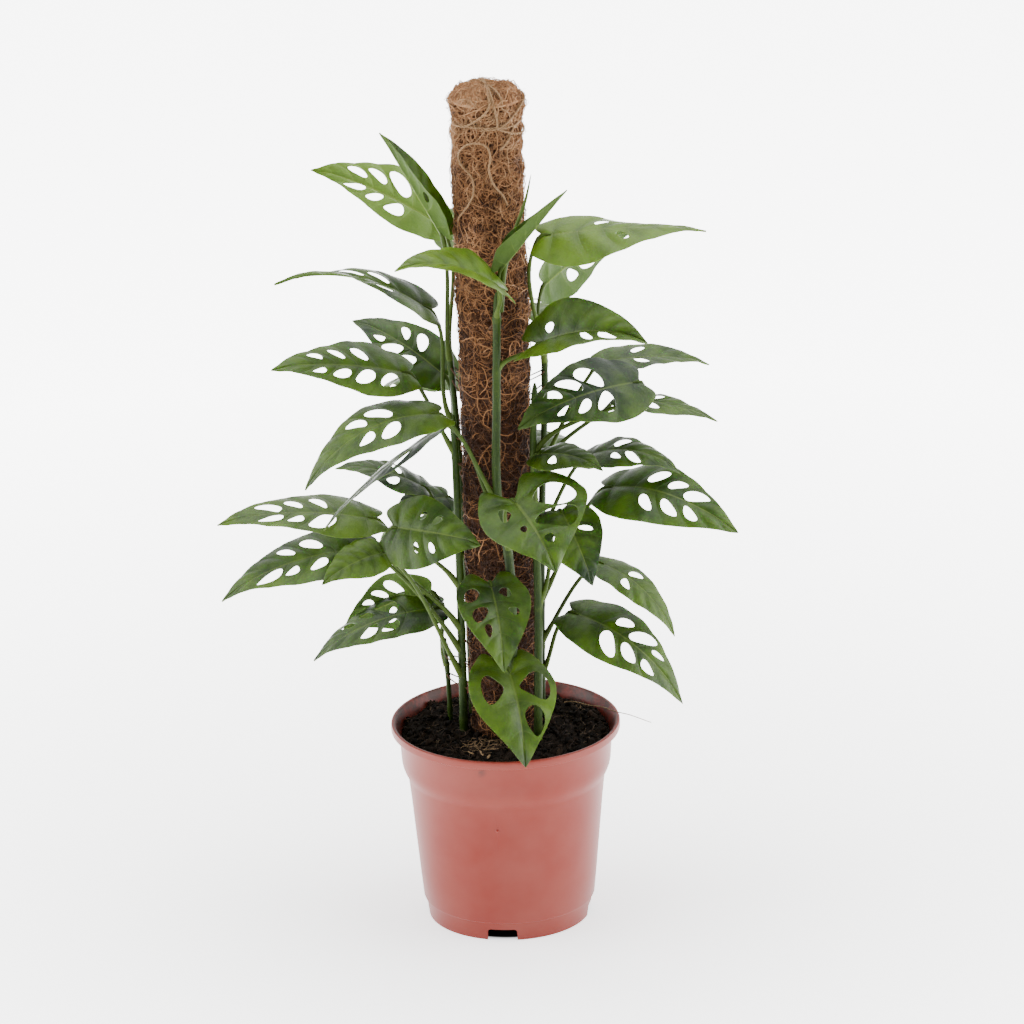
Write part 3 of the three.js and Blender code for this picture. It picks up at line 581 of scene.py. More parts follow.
def finish_look(look, colour, roughness, relief=None, strength=0.3, distance=0.0005, **inputs):
    """Wires colour, roughness, relief and any other named inputs into the shader."""
    tree = look.node_tree
    shader = tree.nodes["Principled BSDF"]
    values = {"Base Color": colour, "Roughness": roughness}
    values.update({key.replace("_", " "): value for key, value in inputs.items()})
    for key, value in values.items():
        if isinstance(value, bpy.types.NodeSocket):
            tree.links.new(value, shader.inputs[key])
        else:
            shader.inputs[key].default_value = value
    if relief is not None:
        bump = step(look, "ShaderNodeBump", {"Strength": strength, "Distance": distance, "Height": relief})
        tree.links.new(bump.outputs[0], shader.inputs["Normal"])


def blade_look(name, upper):
    """Leaf blade: paler veins and margin over a base that goes by the leaf's age, with painted shade in the
    creases along the side veins.
    """
    look = new_look(name)
    c = colours()
    spot = step(look, "ShaderNodeUVMap", uv_map="UVMap").outputs[0]
    parts = step(look, "ShaderNodeSeparateXYZ", {"Vector": spot})
    out = calc(look, "ABSOLUTE", calc(look, "MULTIPLY_ADD", parts.outputs[0], 2.0, -1.0))
    cell = calc(look, "FRACT", calc(look, "DIVIDE", parts.outputs[1], CELL_MAP))
    off = calc(look, "ABSOLUTE", calc(look, "SUBTRACT", cell, 0.5))
    near_rib = spread(look, out, 0.8, 0.1, 0.15, 1.0)
    vein = calc(look, "MULTIPLY", spread(look, off, 0.455, 0.5), near_rib)
    # Painted shade: towards each side vein, where the quilted blade dips into a crease.
    shade = calc(look, "MULTIPLY", spread(look, off, 0.18, 0.46), near_rib)
    rib = spread(look, out, 0.038, 0.014)
    margin = spread(look, out, 0.97, 1.0)
    place = step(look, "ShaderNodeTexCoord").outputs["Object"]
    net = step(look, "ShaderNodeTexVoronoi", {"Scale": 420.0, "Vector": place}, feature="DISTANCE_TO_EDGE")
    net_line = spread(look, net.outputs["Distance"], 0.0, 0.09, 1.0, 0.0)
    patches = grain(look, 48.0, 4.0, 0.6)
    broad = grain(look, 17.0, 2.0)
    fine = grain(look, 700.0, 4.0)
    tone = calc(look, "ADD", tone_of(look), between(look, patches, -0.26, 0.26))
    tone = calc(look, "ADD", tone, between(look, broad, -0.14, 0.14))
    if upper:
        colour = blend(look, tone, c.leaf_dark, c.leaf_light)
        # The upper side darkens in the creases by the side veins: painted shade.
        colour = blend(look, calc(look, "MULTIPLY", shade, 0.42), colour, c.leaf_dark)
        pale = blend(look, 0.5, colour, c.leaf_pale)
        colour = blend(look, calc(look, "MULTIPLY", vein, 0.3), colour, pale)
        colour = blend(look, calc(look, "MULTIPLY", rib, 0.8), colour, pale)
        colour = blend(look, calc(look, "MULTIPLY", margin, 0.6), colour, pale)
        rough = between(look, fine, 0.3, 0.42)
    else:
        colour = blend(look, calc(look, "MULTIPLY", tone, 0.45), c.underside, c.leaf_light)
        colour = blend(look, calc(look, "MULTIPLY", vein, 0.5), colour, c.leaf_pale)
        colour = blend(look, calc(look, "MULTIPLY", rib, 0.8), colour, c.leaf_pale)
        colour = blend(look, calc(look, "MULTIPLY", net_line, 0.12), colour, c.leaf_dark)
        rough = between(look, fine, 0.5, 0.64)
    relief = calc(look, "ADD", calc(look, "MULTIPLY", fine, 0.35), calc(look, "MULTIPLY", net_line, -0.3))
    relief = calc(look, "ADD", relief, calc(look, "MULTIPLY", vein, -0.6 if upper else 0.6))
    relief = calc(look, "ADD", relief, calc(look, "MULTIPLY", grain(look, 160.0, 2.0), 2.2))
    finish_look(look, colour, rough, relief, 0.35, 0.0006, Specular_IOR_Level=0.26 if upper else 0.12,
                Subsurface_Weight=0.1, Subsurface_Scale=0.002, Subsurface_Radius=(0.6, 1.0, 0.25))
    return look


def stalk_look(name, colour, deep, mottle):
    """Green stalk: long faint streaks, paler flecks and a soft shine."""
    look = new_look(name)
    streak = grain(look, 260.0, 3.0, stretch=(1.0, 1.0, 0.12))
    fleck = grain(look, 900.0, 2.0)
    base = blend(look, between(look, streak), deep, colour)
    base = blend(look, calc(look, "MULTIPLY", tone_of(look), 0.6), base, colours().leaf_pale)
    flecks = calc(look, "MULTIPLY", spread(look, fleck, 0.55, 0.7), mottle)
    base = blend(look, flecks, base, colours().leaf_pale)
    finish_look(look, base, between(look, fleck, 0.38, 0.55), streak, 0.25, 0.0004,
                Specular_IOR_Level=0.12)
    return look


# Pot

class POT_OT_build(bpy.types.Operator):
    """Models the nursery pot from a disc drawn out along its wall"""

    bl_idname = "vine.pot"
    bl_label = "Pot"

    def execute(self, context):
        first, *rest = POT_SECTION
        fresh()
        bpy.ops.mesh.primitive_circle_add(
            vertices=POT_STEPS, radius=first[0] * MM, fill_type="NGON", location=(0, 0, first[1] * MM))
        pot = context.object
        pot.name = pot.data.name = "pot_shell"
        bpy.ops.object.transform_apply(location=True)
        bpy.ops.object.mode_set(mode="EDIT")
        bpy.ops.mesh.select_mode(type="EDGE")
        bpy.ops.mesh.select_all(action="SELECT")
        radius, height = first
        for k, (next_radius, next_height) in enumerate(rest):
            if k == 0:
                bpy.ops.mesh.region_to_loop()
            bpy.ops.mesh.extrude_edges_move(
                TRANSFORM_OT_translate={"value": (0, 0, (next_height - height) * MM)})
            grow = next_radius / radius
            bpy.ops.transform.resize(value=(grow, grow, 1), center_override=(0, 0, next_height * MM))
            radius, height = next_radius, next_height
        bpy.ops.mesh.edge_face_add()
        bpy.ops.object.mode_set(mode="OBJECT")
        settle(pot, 30)
        for k in range(NOTCH_COUNT):
            turn = math.radians(NOTCH_TURN + 360 * k / NOTCH_COUNT)
            self.cut(pot, "CUBE", (
                NOTCH_RING_RADIUS * math.sin(turn), -NOTCH_RING_RADIUS * math.cos(turn), 0), turn)
        for k in range(DRAIN_COUNT):
            turn = 2 * math.pi * (k + 0.5) / DRAIN_COUNT
            self.cut(pot, "ROUND", (DRAIN_RING_RADIUS * math.cos(turn), DRAIN_RING_RADIUS * math.sin(turn),
                                    FLOOR_TOP_Z), 0)
        self.nub(pot)
        apply_modifier(pot, "BEVEL", width=POT_EDGE_ROUND, segments=2, limit_method="ANGLE",
                       angle_limit=math.radians(50))
        settle(pot, 35)
        pot.data.materials.append(pot_look())
        finish_piece(pot, "pot_plastic", "pot")
        return {"FINISHED"}

    def cut(self, pot, kind, place, turn):
        fresh()
        place = tuple(c * MM for c in place)
        if kind == "CUBE":
            bpy.ops.mesh.primitive_cube_add(size=1, location=place, rotation=(0, 0, turn))
            tool = bpy.context.object
            tool.scale = tuple(c * MM for c in NOTCH_SIZE)
            bpy.ops.object.transform_apply(scale=True, location=False, rotation=False)
            apply_modifier(tool, "BEVEL", width=NOTCH_ROUND, segments=4, affect="EDGES")
        else:
            bpy.ops.mesh.primitive_cylinder_add(vertices=24, radius=DRAIN_RADIUS, depth=0.01, location=place)
            tool = bpy.context.object
        apply_modifier(pot, "BOOLEAN", object=tool, operation="DIFFERENCE", solver="EXACT")
        bpy.data.objects.remove(tool)

    def nub(self, pot):
        """The small moulding nub low on the front of the wall."""
        fresh()
        bpy.ops.mesh.primitive_uv_sphere_add(
            segments=16, ring_count=8, radius=NUB_RADIUS, location=NUB_PLACE)
        tool = bpy.context.object
        apply_modifier(pot, "BOOLEAN", object=tool, operation="UNION", solver="EXACT")
        bpy.data.objects.remove(tool)


def pot_look():
    """Satin plastic: faint cloudiness, fine grain, soil smears inside and under the rim, and painted shade at
    the bottom of the pot.
    """
    look = new_look("pot_plastic")
    c = colours()
    clouds = grain(look, 14.0, 4.0)
    fine = grain(look, 1600.0, 3.0)
    scuff = grain(look, 120.0, 5.0, 0.65)
    place = step(look, "ShaderNodeTexCoord").outputs["Object"]
    parts = step(look, "ShaderNodeSeparateXYZ", {"Vector": place}).outputs
    height = parts[2]
    flat = step(look, "ShaderNodeCombineXYZ", {"X": parts[0], "Y": parts[1]}).outputs[0]
    reach = step(look, "ShaderNodeVectorMath", {0: flat}, operation="LENGTH").outputs["Value"]
    lighter = blend(look, 0.35, c.pot, (1.0, 0.6, 0.5), "SCREEN")
    colour = blend(look, between(look, clouds, 0.0, 0.1), c.pot, lighter)
    soiled = (0.035, 0.014, 0.009)
    lip = calc(look, "MULTIPLY", spread(look, height, 0.1435, 0.1455), spread(look, height, 0.1478, 0.1462))
    near_lip = calc(look, "MULTIPLY_ADD", lip, 0.3, 0.02)
    smears = calc(look, "MULTIPLY", spread(look, scuff, 0.5, 0.66), near_lip)
    wall = calc(look, "MULTIPLY_ADD", spread(look, height, 0.124, 0.1455), 0.0014, 0.077)
    wall = calc(look, "MULTIPLY_ADD", spread(look, height, 0.1455, 0.1525), 0.0048, wall)
    inner = spread(look, calc(look, "SUBTRACT", reach, wall), 0.0003, -0.0003)
    inside = calc(look, "MULTIPLY", inner, spread(look, height, 0.12, 0.14))
    stains = calc(look, "MULTIPLY", spread(look, scuff, 0.36, 0.56), inside)
    spot = step(look, "ShaderNodeVectorMath", {0: place, 1: BLOT_PLACE}, operation="DISTANCE")
    near_spot = spread(look, spot.outputs["Value"], 0.0055, 0.001)
    blot = calc(look, "MULTIPLY", near_spot, spread(look, scuff, 0.38, 0.55))
    dirt = calc(look, "MAXIMUM", calc(look, "MAXIMUM", smears, stains), calc(look, "MULTIPLY", blot, 0.9))
    colour = blend(look, calc(look, "MULTIPLY", dirt, 0.8), colour, soiled)
    # Painted shade: the pot's floor and the hollow beneath it, seen through the foot notches, are darkened
    # nearly to black.
    painted_shade_underneath = calc(look, "MULTIPLY", spread(look, reach, 0.0592, 0.0582), spread(look, height, 0.0122, 0.0112))
    colour = blend(look, calc(look, "MULTIPLY", painted_shade_underneath, 0.85), colour, (0.01, 0.006, 0.005))
    finish_look(look, colour, between(look, clouds, 0.34, 0.42), fine, 0.05, 0.0002,
                Specular_IOR_Level=0.26)
    return look


# Soil

class SOIL_OT_build(bpy.types.Operator):
    """Models the potting soil: a lumpy bed, loose crumbs, litter and fine roots"""

    bl_idname = "vine.soil"
    bl_label = "Soil"

    def execute(self, context):
        fresh()
        top = SOIL_TOP_Z
        bpy.ops.mesh.primitive_cylinder_add(
            vertices=SOIL_STEPS, radius=SOIL_RADIUS * MM, depth=SOIL_DEPTH * MM,
            location=(0, 0, (top - SOIL_DEPTH / 2) * MM))
        bed = context.object
        bed.name = bed.data.name = "soil_bed"
        bpy.ops.object.transform_apply(location=True)
        bpy.ops.object.mode_set(mode="EDIT")
        bpy.ops.mesh.select_mode(type="FACE")
        bpy.ops.mesh.select_all(action="DESELECT")
        bm = bmesh.from_edit_mesh(bed.data)
        for face in bm.faces:
            face.select_set(face.normal.z > 0.9)
        bmesh.update_edit_mesh(bed.data)
        for _ in range(SOIL_RINGS):
            bpy.ops.mesh.inset(thickness=SOIL_RING_WIDTH * MM, depth=0)
        bpy.ops.mesh.poke()
        bpy.ops.mesh.select_all(action="DESELECT")
        for face in bm.faces:
            face.select_set(face.normal.z < -0.9)
        bmesh.update_edit_mesh(bed.data)
        bpy.ops.transform.resize(value=(SOIL_TAPER, SOIL_TAPER, 1), center_override=(0, 0, 0))
        bpy.ops.object.mode_set(mode="OBJECT")
        self.roughen(bed)
        settle(bed, 60)
        bed.data.materials.append(soil_look())
        finish_piece(bed, "potting_soil", "soil")
        self.crumbs(context)
        self.litter()
        return {"FINISHED"}

    def roughen(self, bed):
        for v in bed.data.vertices:
            if v.co.z > (SOIL_TOP_Z - 0.5) * MM:
                v.co.z = soil_height(v.co.x / MM, v.co.y / MM) * MM

    def crumbs(self, context):
        """Two crumb shapes are modelled once and scattered, turned and sized."""
        shapes = []
        for k, cuts in enumerate((1, 2)):
            fresh()
            bpy.ops.mesh.primitive_ico_sphere_add(subdivisions=cuts, radius=1)
            seed = context.object
            editing(seed)
            bpy.ops.transform.vertex_random(offset=0.34, seed=k + 3)
            bpy.ops.object.mode_set(mode="OBJECT")
            shapes.append((np.array([v.co for v in seed.data.vertices]),
                           [tuple(p.vertices) for p in seed.data.polygons]))
            bpy.data.objects.remove(seed)
        heap = Heap()
        for i in range(sizes().crumbs):
            points, faces = shapes[0] if i % 4 else shapes[1]
            reach = CRUMB_REACH * math.sqrt(rand(i, 1))
            turn = 2 * math.pi * rand(i, 2)
            x, y = reach * math.cos(turn), reach * math.sin(turn)
            if math.hypot(x - POLE_FOOT_X, y) < CRUMB_CLEAR_OF_POLE:
                continue
            size = 0.6 + 2.3 * rand(i, 3) ** 3 + (2.2 if i % 37 == 0 else 0)
            spin = Matrix.Rotation(6.28 * rand(i, 4), 3, Vector((rand(i, 5) - 0.5, rand(i, 6) - 0.5, 0.4)))
            body = (points * np.array([1, 0.8, 0.62]) * size) @ np.array(spin).T
            body += (x, y, soil_height(x, y) + size * 0.3)
            heap.add(body, faces, tones=rand(i, 7) ** 2)
        crumbs = heap.piece("soil_crumbs", [crumb_look()])
        pick(crumbs)
        bpy.ops.object.shade_flat()
        finish_piece(crumbs, "potting_soil")

    def litter(self):
        """Dark roots all over, coir scraps by the pole's foot, pale chips, one fibre over the rim."""
        heap = Heap()
        for i in range(LITTER_COUNT):
            by_pole = i % 3 == 0
            reach = 28 + (21 if by_pole else 47) * rand(i, 11)
            turn = math.radians(-135 + 60 * rand(i, 12)) if by_pole else 2 * math.pi * rand(i, 12)
            way = turn + 2.4 * (rand(i, 13) - 0.5) + math.pi / 2
            long = 4 + 11 * rand(i, 14)
            points = []
            x, y = reach * math.cos(turn), reach * math.sin(turn)
            for k in range(6):
                if math.hypot(x, y) > LITTER_REACH:
                    break
                points.append((x, y, soil_height(x, y) + 0.6 + 1.6 * rand(i, 20 + k)))
                x += long / 5 * math.cos(way)
                y += long / 5 * math.sin(way)
                way += 1.7 * (rand(i, 30 + k) - 0.5)
            if len(points) > 3:
                line = even(np.array(points), 7)
                corners, faces = tube(line, 0.16 + 0.14 * rand(i, 15), 4)
                tone = 0.35 + 0.5 * rand(i, 16) if by_pole else 0.4 * rand(i, 16) ** 2
                heap.add(corners, faces, tones=tone)
        line = spline(OVER_RIM, 36)
        line[:, 2] += 0.5 * np.sin(np.linspace(0, 17, 37))
        corners, faces = tube(line, np.linspace(0.5, 0.26, 37), 5)
        heap.add(corners, faces, tones=0.85)
        for x, y, turn, long in CHIPS:
            z = soil_height(x, y) + 2.0
            ahead = np.array((math.cos(turn), math.sin(turn), 0.25)) * long / 2
            middle = np.array((x, y, z))
            chip = np.array([middle - ahead, middle - ahead * 0.4, middle + ahead * 0.5, middle + ahead])
            corners, faces = tube(chip, np.array((0.5, 1.0, 0.9, 0.35)), 6, 0.6)
            heap.add(corners, faces, tones=0.8)
        look = fibre_look("litter_fibre", (0.02, 0.01, 0.005), (0.3, 0.19, 0.1))
        threads = heap.piece("soil_litter", [look])
        round_off(threads, 0.001, 60)
        finish_piece(threads, "coir")


def soil_height(x, y):
    """Height of the soil's surface: clods, and a little mound round the pole."""
    reach = math.hypot(x, y)
    clods = noise.fractal(Vector((x * 0.085, y * 0.085, 3.1)), 0.7, 2.1, 4)
    grit = noise.noise(Vector((x * 0.5, y * 0.5, 9.4)))
    mound = 1.2 * math.exp(-((reach - 26) / 16) ** 2) if reach > 26 else 1.2
    edge = 2.2 * max(0.0, (reach - 68) / 9)
    return SOIL_TOP_Z + 2.2 + 2.5 * clods + 0.9 * grit + mound - edge


def soil_look():
    look = new_look("potting_soil")
    coarse = grain(look, 260.0, 6.0, 0.7)
    fine = grain(look, 1500.0, 4.0, 0.7)
    colour = blend(look, spread(look, coarse, 0.35, 0.7), (0.0015, 0.001, 0.0007), colours().soil)
    specks = calc(look, "MULTIPLY", spread(look, fine, 0.6, 0.75), 0.5)
    colour = blend(look, specks, colour, (0.02, 0.011, 0.006))
    finish_look(look, colour, between(look, fine, 0.8, 1.0), calc(look, "ADD", coarse, fine),
                0.9, 0.0016, Specular_IOR_Level=0.1)
    return look


def crumb_look():
    look = new_look("soil_crumb")
    fine = grain(look, 1300.0, 4.0, 0.7)
    colour = blend(look, tone_of(look), (0.002, 0.0015, 0.001), (0.022, 0.013, 0.008))
    specks = calc(look, "MULTIPLY", spread(look, fine, 0.5, 0.8), 0.5)
    colour = blend(look, specks, colour, (0.01, 0.006, 0.004))
    finish_look(look, colour, between(look, fine, 0.82, 1.0), fine, 0.6, 0.0006,
                Specular_IOR_Level=0.1)
    return look


def fibre_look(name, deep, pale):
    """Plant fibre: each strand has its own tone, from deep to pale."""
    look = new_look(name)
    along = grain(look, 420.0, 3.0)
    colour = blend(look, tone_of(look), deep, pale)
    colour = blend(look, calc(look, "MULTIPLY", spread(look, along, 0.35, 0.7), 0.35), colour, deep)
    finish_look(look, colour, between(look, along, 0.55, 0.8), along, 0.2, 0.0002,
                Specular_IOR_Level=0.2)
    return look


# Pole

def pole_profile(z):
    """Plain radius of the sleeve at a height, pinched at the tie and closed over the top."""
    if z <= POLE_HEAD[0][1]:
        return POLE_RADIUS
    heights = [p[1] for p in POLE_HEAD[:-4]]
    return float(np.interp(z, heights, [p[0] for p in POLE_HEAD[:-4]]))


def pole_lumps(turn, z):
    """How far the coir stands out or in at a place on the sleeve, in millimetres."""
    around, aside = math.cos(turn), math.sin(turn)
    swell = noise.fractal(Vector((around * 1.5, aside * 1.5, z * 0.05)), 0.8, 2.0, 3)
    tufts = noise.noise(Vector((around * 4.6, aside * 4.6, z * 0.17 + 7)))
    knots = noise.noise(Vector((around * 10, aside * 10, z * 0.4 + 3)))
    relief = sizes().coir_relief / MM
    return relief * (0.75 * swell + 0.6 * tufts + 0.35 * knots)


def coir_spot(turn, z, off):
    """A place on the sleeve; the head above the tie is gathered into soft lobes."""
    lobes = 0.0
    if z > TIE_Z:
        share = smooth(TIE_Z, TIE_Z + 9, z)
        creases = sum(
            math.exp(-((math.degrees(turn) - c + 180) % 360 - 180) ** 2 / 160) for c in HEAD_CREASES)
        lobes = share * (0.9 - 2.6 * creases)
    reach = pole_profile(z) + pole_lumps(turn, z) + lobes + off
    return (pole_x(z) + reach * math.cos(turn), reach * math.sin(turn), z)


def curl_over(start, long, way, bend, off_at, seed, steps):
    """A fibre's line on the sleeve: it sets out one way and keeps turning."""
    turn, z = start
    points = []
    for k in range(steps + 1):
        points.append(coir_spot(turn, min(max(z, FIBRE_LOWEST_Z), FIBRE_TOP_Z), off_at(k / steps)))
        turn += long / steps * math.cos(way) / POLE_RADIUS
        z += long / steps * math.sin(way)
        way += bend / steps + 0.5 * (rand(seed + k, 77) - 0.5)
    return np.array(points)


class POLE_OT_build(bpy.types.Operator):
    """Models the coir sleeve and lays fibres all over it"""

    bl_idname = "vine.pole"
    bl_label = "Coir pole"

    def execute(self, context):
        self.sleeve(context)
        bands = np.linspace(FIBRE_START_Z, FIBRE_TOP_Z, MAT_BANDS + 1)
        for k in range(MAT_BANDS):
            self.mat(f"coir_fibres_{k + 1}", sizes().fibres, bands[k], bands[k + 1], 100 + 10 * k)
        self.crown()
        self.loose()
        self.strands()
        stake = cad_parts["pole_stake"]
        stake.data.materials.clear()
        stake.data.materials.append(wood_look())
        return {"FINISHED"}

    def sleeve(self, context):
        """A tall cylinder cut into rings, then shaped ring by ring."""
        fresh()
        bpy.ops.mesh.primitive_cylinder_add(
            vertices=POLE_STEPS, radius=POLE_RADIUS * MM, depth=(SLEEVE_TOP_Z - POLE_BOTTOM_Z) * MM,
            location=(0, 0, (SLEEVE_TOP_Z + POLE_BOTTOM_Z) / 2 * MM), end_fill_type="TRIFAN")
        sleeve = context.object
        sleeve.name = sleeve.data.name = "coir_body"
        bpy.ops.object.transform_apply(location=True)
        for k in range(1, SLEEVE_RINGS):
            editing(sleeve, "FACE")
            z = POLE_BOTTOM_Z + (SLEEVE_TOP_Z - POLE_BOTTOM_Z) * (k / SLEEVE_RINGS) ** 0.92
            bpy.ops.mesh.bisect(plane_co=(0, 0, z * MM), plane_no=(0, 0, 1))
        bpy.ops.object.mode_set(mode="OBJECT")
        for v in sleeve.data.vertices:
            x, y, z = v.co / MM
            turn = math.atan2(y, x)
            if math.hypot(x, y) < POLE_RADIUS / 2:
                v.co = Vector((pole_x(z), 0, z + (3 if z > 600 else 0))) * MM
                continue
            v.co = Vector(coir_spot(turn, z, -1.1)) * MM
        settle(sleeve, 60)
        sleeve.data.materials.append(coir_body_look())
        finish_piece(sleeve, "coir", "coir_sleeve")

    def lay(self, name, lines):
        """Fibres of three sides each along lines, given with their radii and tones."""
        heap = Heap()
        for line, radii, tone in lines:
            corners, faces = tube(line, radii, 3)
            heap.add(corners, faces, tones=tone)
        fibres = heap.piece(name, [coir_fibre_look()])
        pick(fibres)
        bpy.ops.object.shade_smooth_by_angle(angle=math.radians(130))
        finish_piece(fibres, "coir")

    def mat(self, name, count, low, high, seed):
        """Curled fibres that hug the sleeve, crossing one another every way."""
        radius = sizes().fibre_radius / MM
        lines = []
        for i in range(count):
            start = (2 * math.pi * rand(i, seed), low + (high - low) * rand(i, seed + 1))
            over = 0.1 + 1.7 * rand(i, seed + 5) ** 2.2
            line = curl_over(
                start, 7 + 17 * rand(i, seed + 3), 2 * math.pi * rand(i, seed + 2),
                6.4 * (rand(i, seed + 4) - 0.5), lambda s, o=over: o * (0.3 + math.sin(math.pi * s)) - 0.7,
                i + seed, 6)
            thick = radius * (0.7 + 1.1 * rand(i, seed + 8) ** 2)
            # Fibres that lie close on the sleeve get a darker tone: painted shade deep in the mat.
            lines.append((line, thick, rand(i, seed + 9) * (0.55 + 0.3 * over)))
        self.lay(name, lines)

    def crown(self):
        """Fibres drawn together over the top of the sleeve, with tufts that stand up."""
        radius = sizes().fibre_radius / MM
        lines = []
        for i in range(CROWN_FIBRES):
            turn = 2 * math.pi * rand(i, 301)
            reach = 25.5 * math.sqrt(rand(i, 302))
            way = turn + math.pi * (0.5 + 1.1 * (rand(i, 303) - 0.5)) + (math.pi if i % 2 else 0)
            long = 5 + 13 * rand(i, 304)
            x, y = reach * math.cos(turn), reach * math.sin(turn)
            rise = 0.2 + 1.6 * rand(i, 310) + (3.4 * rand(i, 311) if i % 11 == 0 else 0)
            points = []
            for k in range(7):
                reach = min(math.hypot(x, y), CROWN_REACH)
                turn = math.atan2(y, x)
                z = crown_height(reach, turn) + rise * math.sin(math.pi * k / 6)
                points.append((pole_x(z) + reach * math.cos(turn), reach * math.sin(turn), z))
                x += long / 6 * math.cos(way)
                y += long / 6 * math.sin(way)
                way += 0.4 * (rand(i, 312) - 0.5) + 0.9 * (rand(i + k, 305) - 0.5)
            thick = radius * (0.7 + 1.1 * rand(i, 306) ** 2)
            lines.append((np.array(points), thick, 0.2 + 0.75 * rand(i, 307)))
        self.lay("coir_crown", lines)

    def loose(self):
        """Single fibres that stand off the sleeve and show against the light."""
        radius = sizes().fibre_radius / MM
        lines = []
        for i in range(LOOSE_FIBRES):
            stand = 0.9 + 3.0 * rand(i, 405) ** 2
            tail = rand(i, 406) > 0.5
            low = 130 if i % 4 else 600
            line = curl_over(
                (2 * math.pi * rand(i, 401), low + (FIBRE_TOP_Z - low) * rand(i, 402)), 6 + 12 * rand(i, 404),
                2 * math.pi * rand(i, 403), 5 * (rand(i, 409) - 0.5),
                lambda s, d=stand, t=tail: d * (s ** 1.3 if t else math.sin(math.pi * s)) - 0.4, i, 6)
            lines.append((line, radius * np.linspace(0.9, 0.5, 7), 0.3 + 0.6 * rand(i, 408)))
        self.lay("coir_loose", lines)

    def strands(self):
        """Thicker pale strands that wander over the mat, some of them in open loops."""
        lines = []
        for i in range(STRANDS):
            looped = i % 3 == 0
            line = curl_over(
                (2 * math.pi * rand(i, 421), 135 + 500 * rand(i, 422) ** 0.8),
                (22 if looped else 13) + 15 * rand(i, 423), 2 * math.pi * rand(i, 424),
                (9 if looped else 2.5) * (rand(i, 425) - 0.5),
                lambda s: 0.5 + 1.0 * math.sin(math.pi * s), i, 14)
            lines.append((line, 0.3 + 0.17 * rand(i, 426), 0.55 + 0.5 * rand(i, 427)))
        self.lay("coir_strands", lines)


def crown_height(reach, turn):
    """Height of the closed top at a distance and turn from the pole's middle."""
    rows = sorted((r, z) for r, z in POLE_HEAD if z >= 633)
    plain = float(np.interp(reach, [r for r, _ in rows], [z for _, z in rows]))
    spot = Vector((reach * 0.13 * math.cos(turn), reach * 0.13 * math.sin(turn), 5.5))
    tufts = noise.fractal(spot, 0.8, 2.0, 3)
    return plain - 1.0 + 2.6 * tufts * smooth(27, 21, reach)


def coir_body_look():
    look = new_look("coir_body")
    c = colours()
    threads = grain(look, 900.0, 5.0, 0.7, stretch=(1.0, 1.0, 0.6))
    clumps = grain(look, 120.0, 4.0)
    # Painted shade: the sleeve under the fibres, seen in the gaps, is coloured very dark, and darker still in
    # clumps.
    colour = blend(look, spread(look, threads, 0.35, 0.65), c.coir_dark_and_shade, (0.07, 0.027, 0.01))
    colour = blend(look, spread(look, clumps, 0.5, 0.7, 0.0, 0.5), colour, (0.012, 0.005, 0.002))
    finish_look(look, colour, between(look, threads, 0.8, 1.0), threads, 0.9, 0.001,
                Specular_IOR_Level=0.1)
    return look


def coir_fibre_look():
    found = bpy.data.materials.get("coir_fibre")
    if found:
        return found
    look = new_look("coir_fibre")
    c = colours()
    clumps = grain(look, 60.0, 4.0)
    tone = calc(look, "ADD", tone_of(look), between(look, clumps, -0.3, 0.2))
    # Darker low down and lighter at the top: painted shade under the leaves, where the coir is also damper,
    # and painted light from above on the top.
    place = step(look, "ShaderNodeTexCoord").outputs["Object"]
    height = step(look, "ShaderNodeSeparateXYZ", {"Vector": place}).outputs[2]
    tone = calc(look, "ADD", tone, spread(look, height, 0.35, 0.6, -0.4, 0.2))
    colour = blend(look, spread(look, tone, 0.05, 0.6), c.coir_dark_and_shade, c.coir)
    colour = blend(look, spread(look, tone, 0.65, 1.2), colour, (0.36, 0.22, 0.115))
    finish_look(look, colour, between(look, clumps, 0.5, 0.7), clumps, 0.1, 0.0002,
                Specular_IOR_Level=0.2)
    return look


def wood_look():
    look = new_look("stake_wood")
    c = colours()
    streaks = grain(look, 300.0, 4.0, stretch=(1.0, 1.0, 0.06))
    colour = blend(look, between(look, streaks), c.wood, (0.12, 0.065, 0.028))
    finish_look(look, colour, between(look, streaks, 0.6, 0.8), streaks, 0.4, 0.0006)
    return look


# Twine

class TWINE_OT_build(bpy.types.Operator):
    """Lays two-ply jute twine round the head of the pole, over its top and down its front"""

    bl_idname = "vine.twine"
    bl_label = "Twine"

    def execute(self, context):
        heap = Heap()
        for number, line in enumerate(twine_lines()):
            self.ply(heap, line, number)
        twine = heap.piece("jute_twine", [twine_look()])
        pick(twine)
        bpy.ops.object.shade_smooth_by_angle(angle=math.radians(70))
        finish_piece(twine, "jute_twine", "twine")
        return {"FINISHED"}

    def ply(self, heap, line, number):
        length = float(np.linalg.norm(np.diff(line, axis=0), axis=1).sum())
        line = even(line, max(12, int(length / 0.55)))
        across, up = side_frames(line)
        radius = sizes().twine_radius / MM
        turn = np.linspace(0, 2 * math.pi * length / PLY_PITCH, len(line))
        for side in (0, math.pi):
            path = (line + across * (radius * 0.5 * np.cos(turn + side))[:, None]
                    + up * (radius * 0.5 * np.sin(turn + side))[:, None])
            corners, faces = tube(path, radius * 0.56, 6)
            heap.add(corners, faces, tones=0.55)
        for i in range(int(length * 0.9)):
            k = int(rand(i, 500 + number) * (len(line) - 4))
            out = unit(across[k] * math.cos(i) + up[k] * math.sin(i))
            start = line[k] + out * radius * 0.7
            ahead = unit(line[k + 3] - line[k])
            reach = 0.8 + 2.2 * rand(i, 510)
            points = np.array([start, start + (out * 0.5 + ahead) * reach * 0.5,
                               start + (out + ahead * 1.4) * reach])
            corners, faces = tube(even(points, 4), 0.07, 3)
            heap.add(corners, faces, tones=0.7 + 0.3 * rand(i, 511))


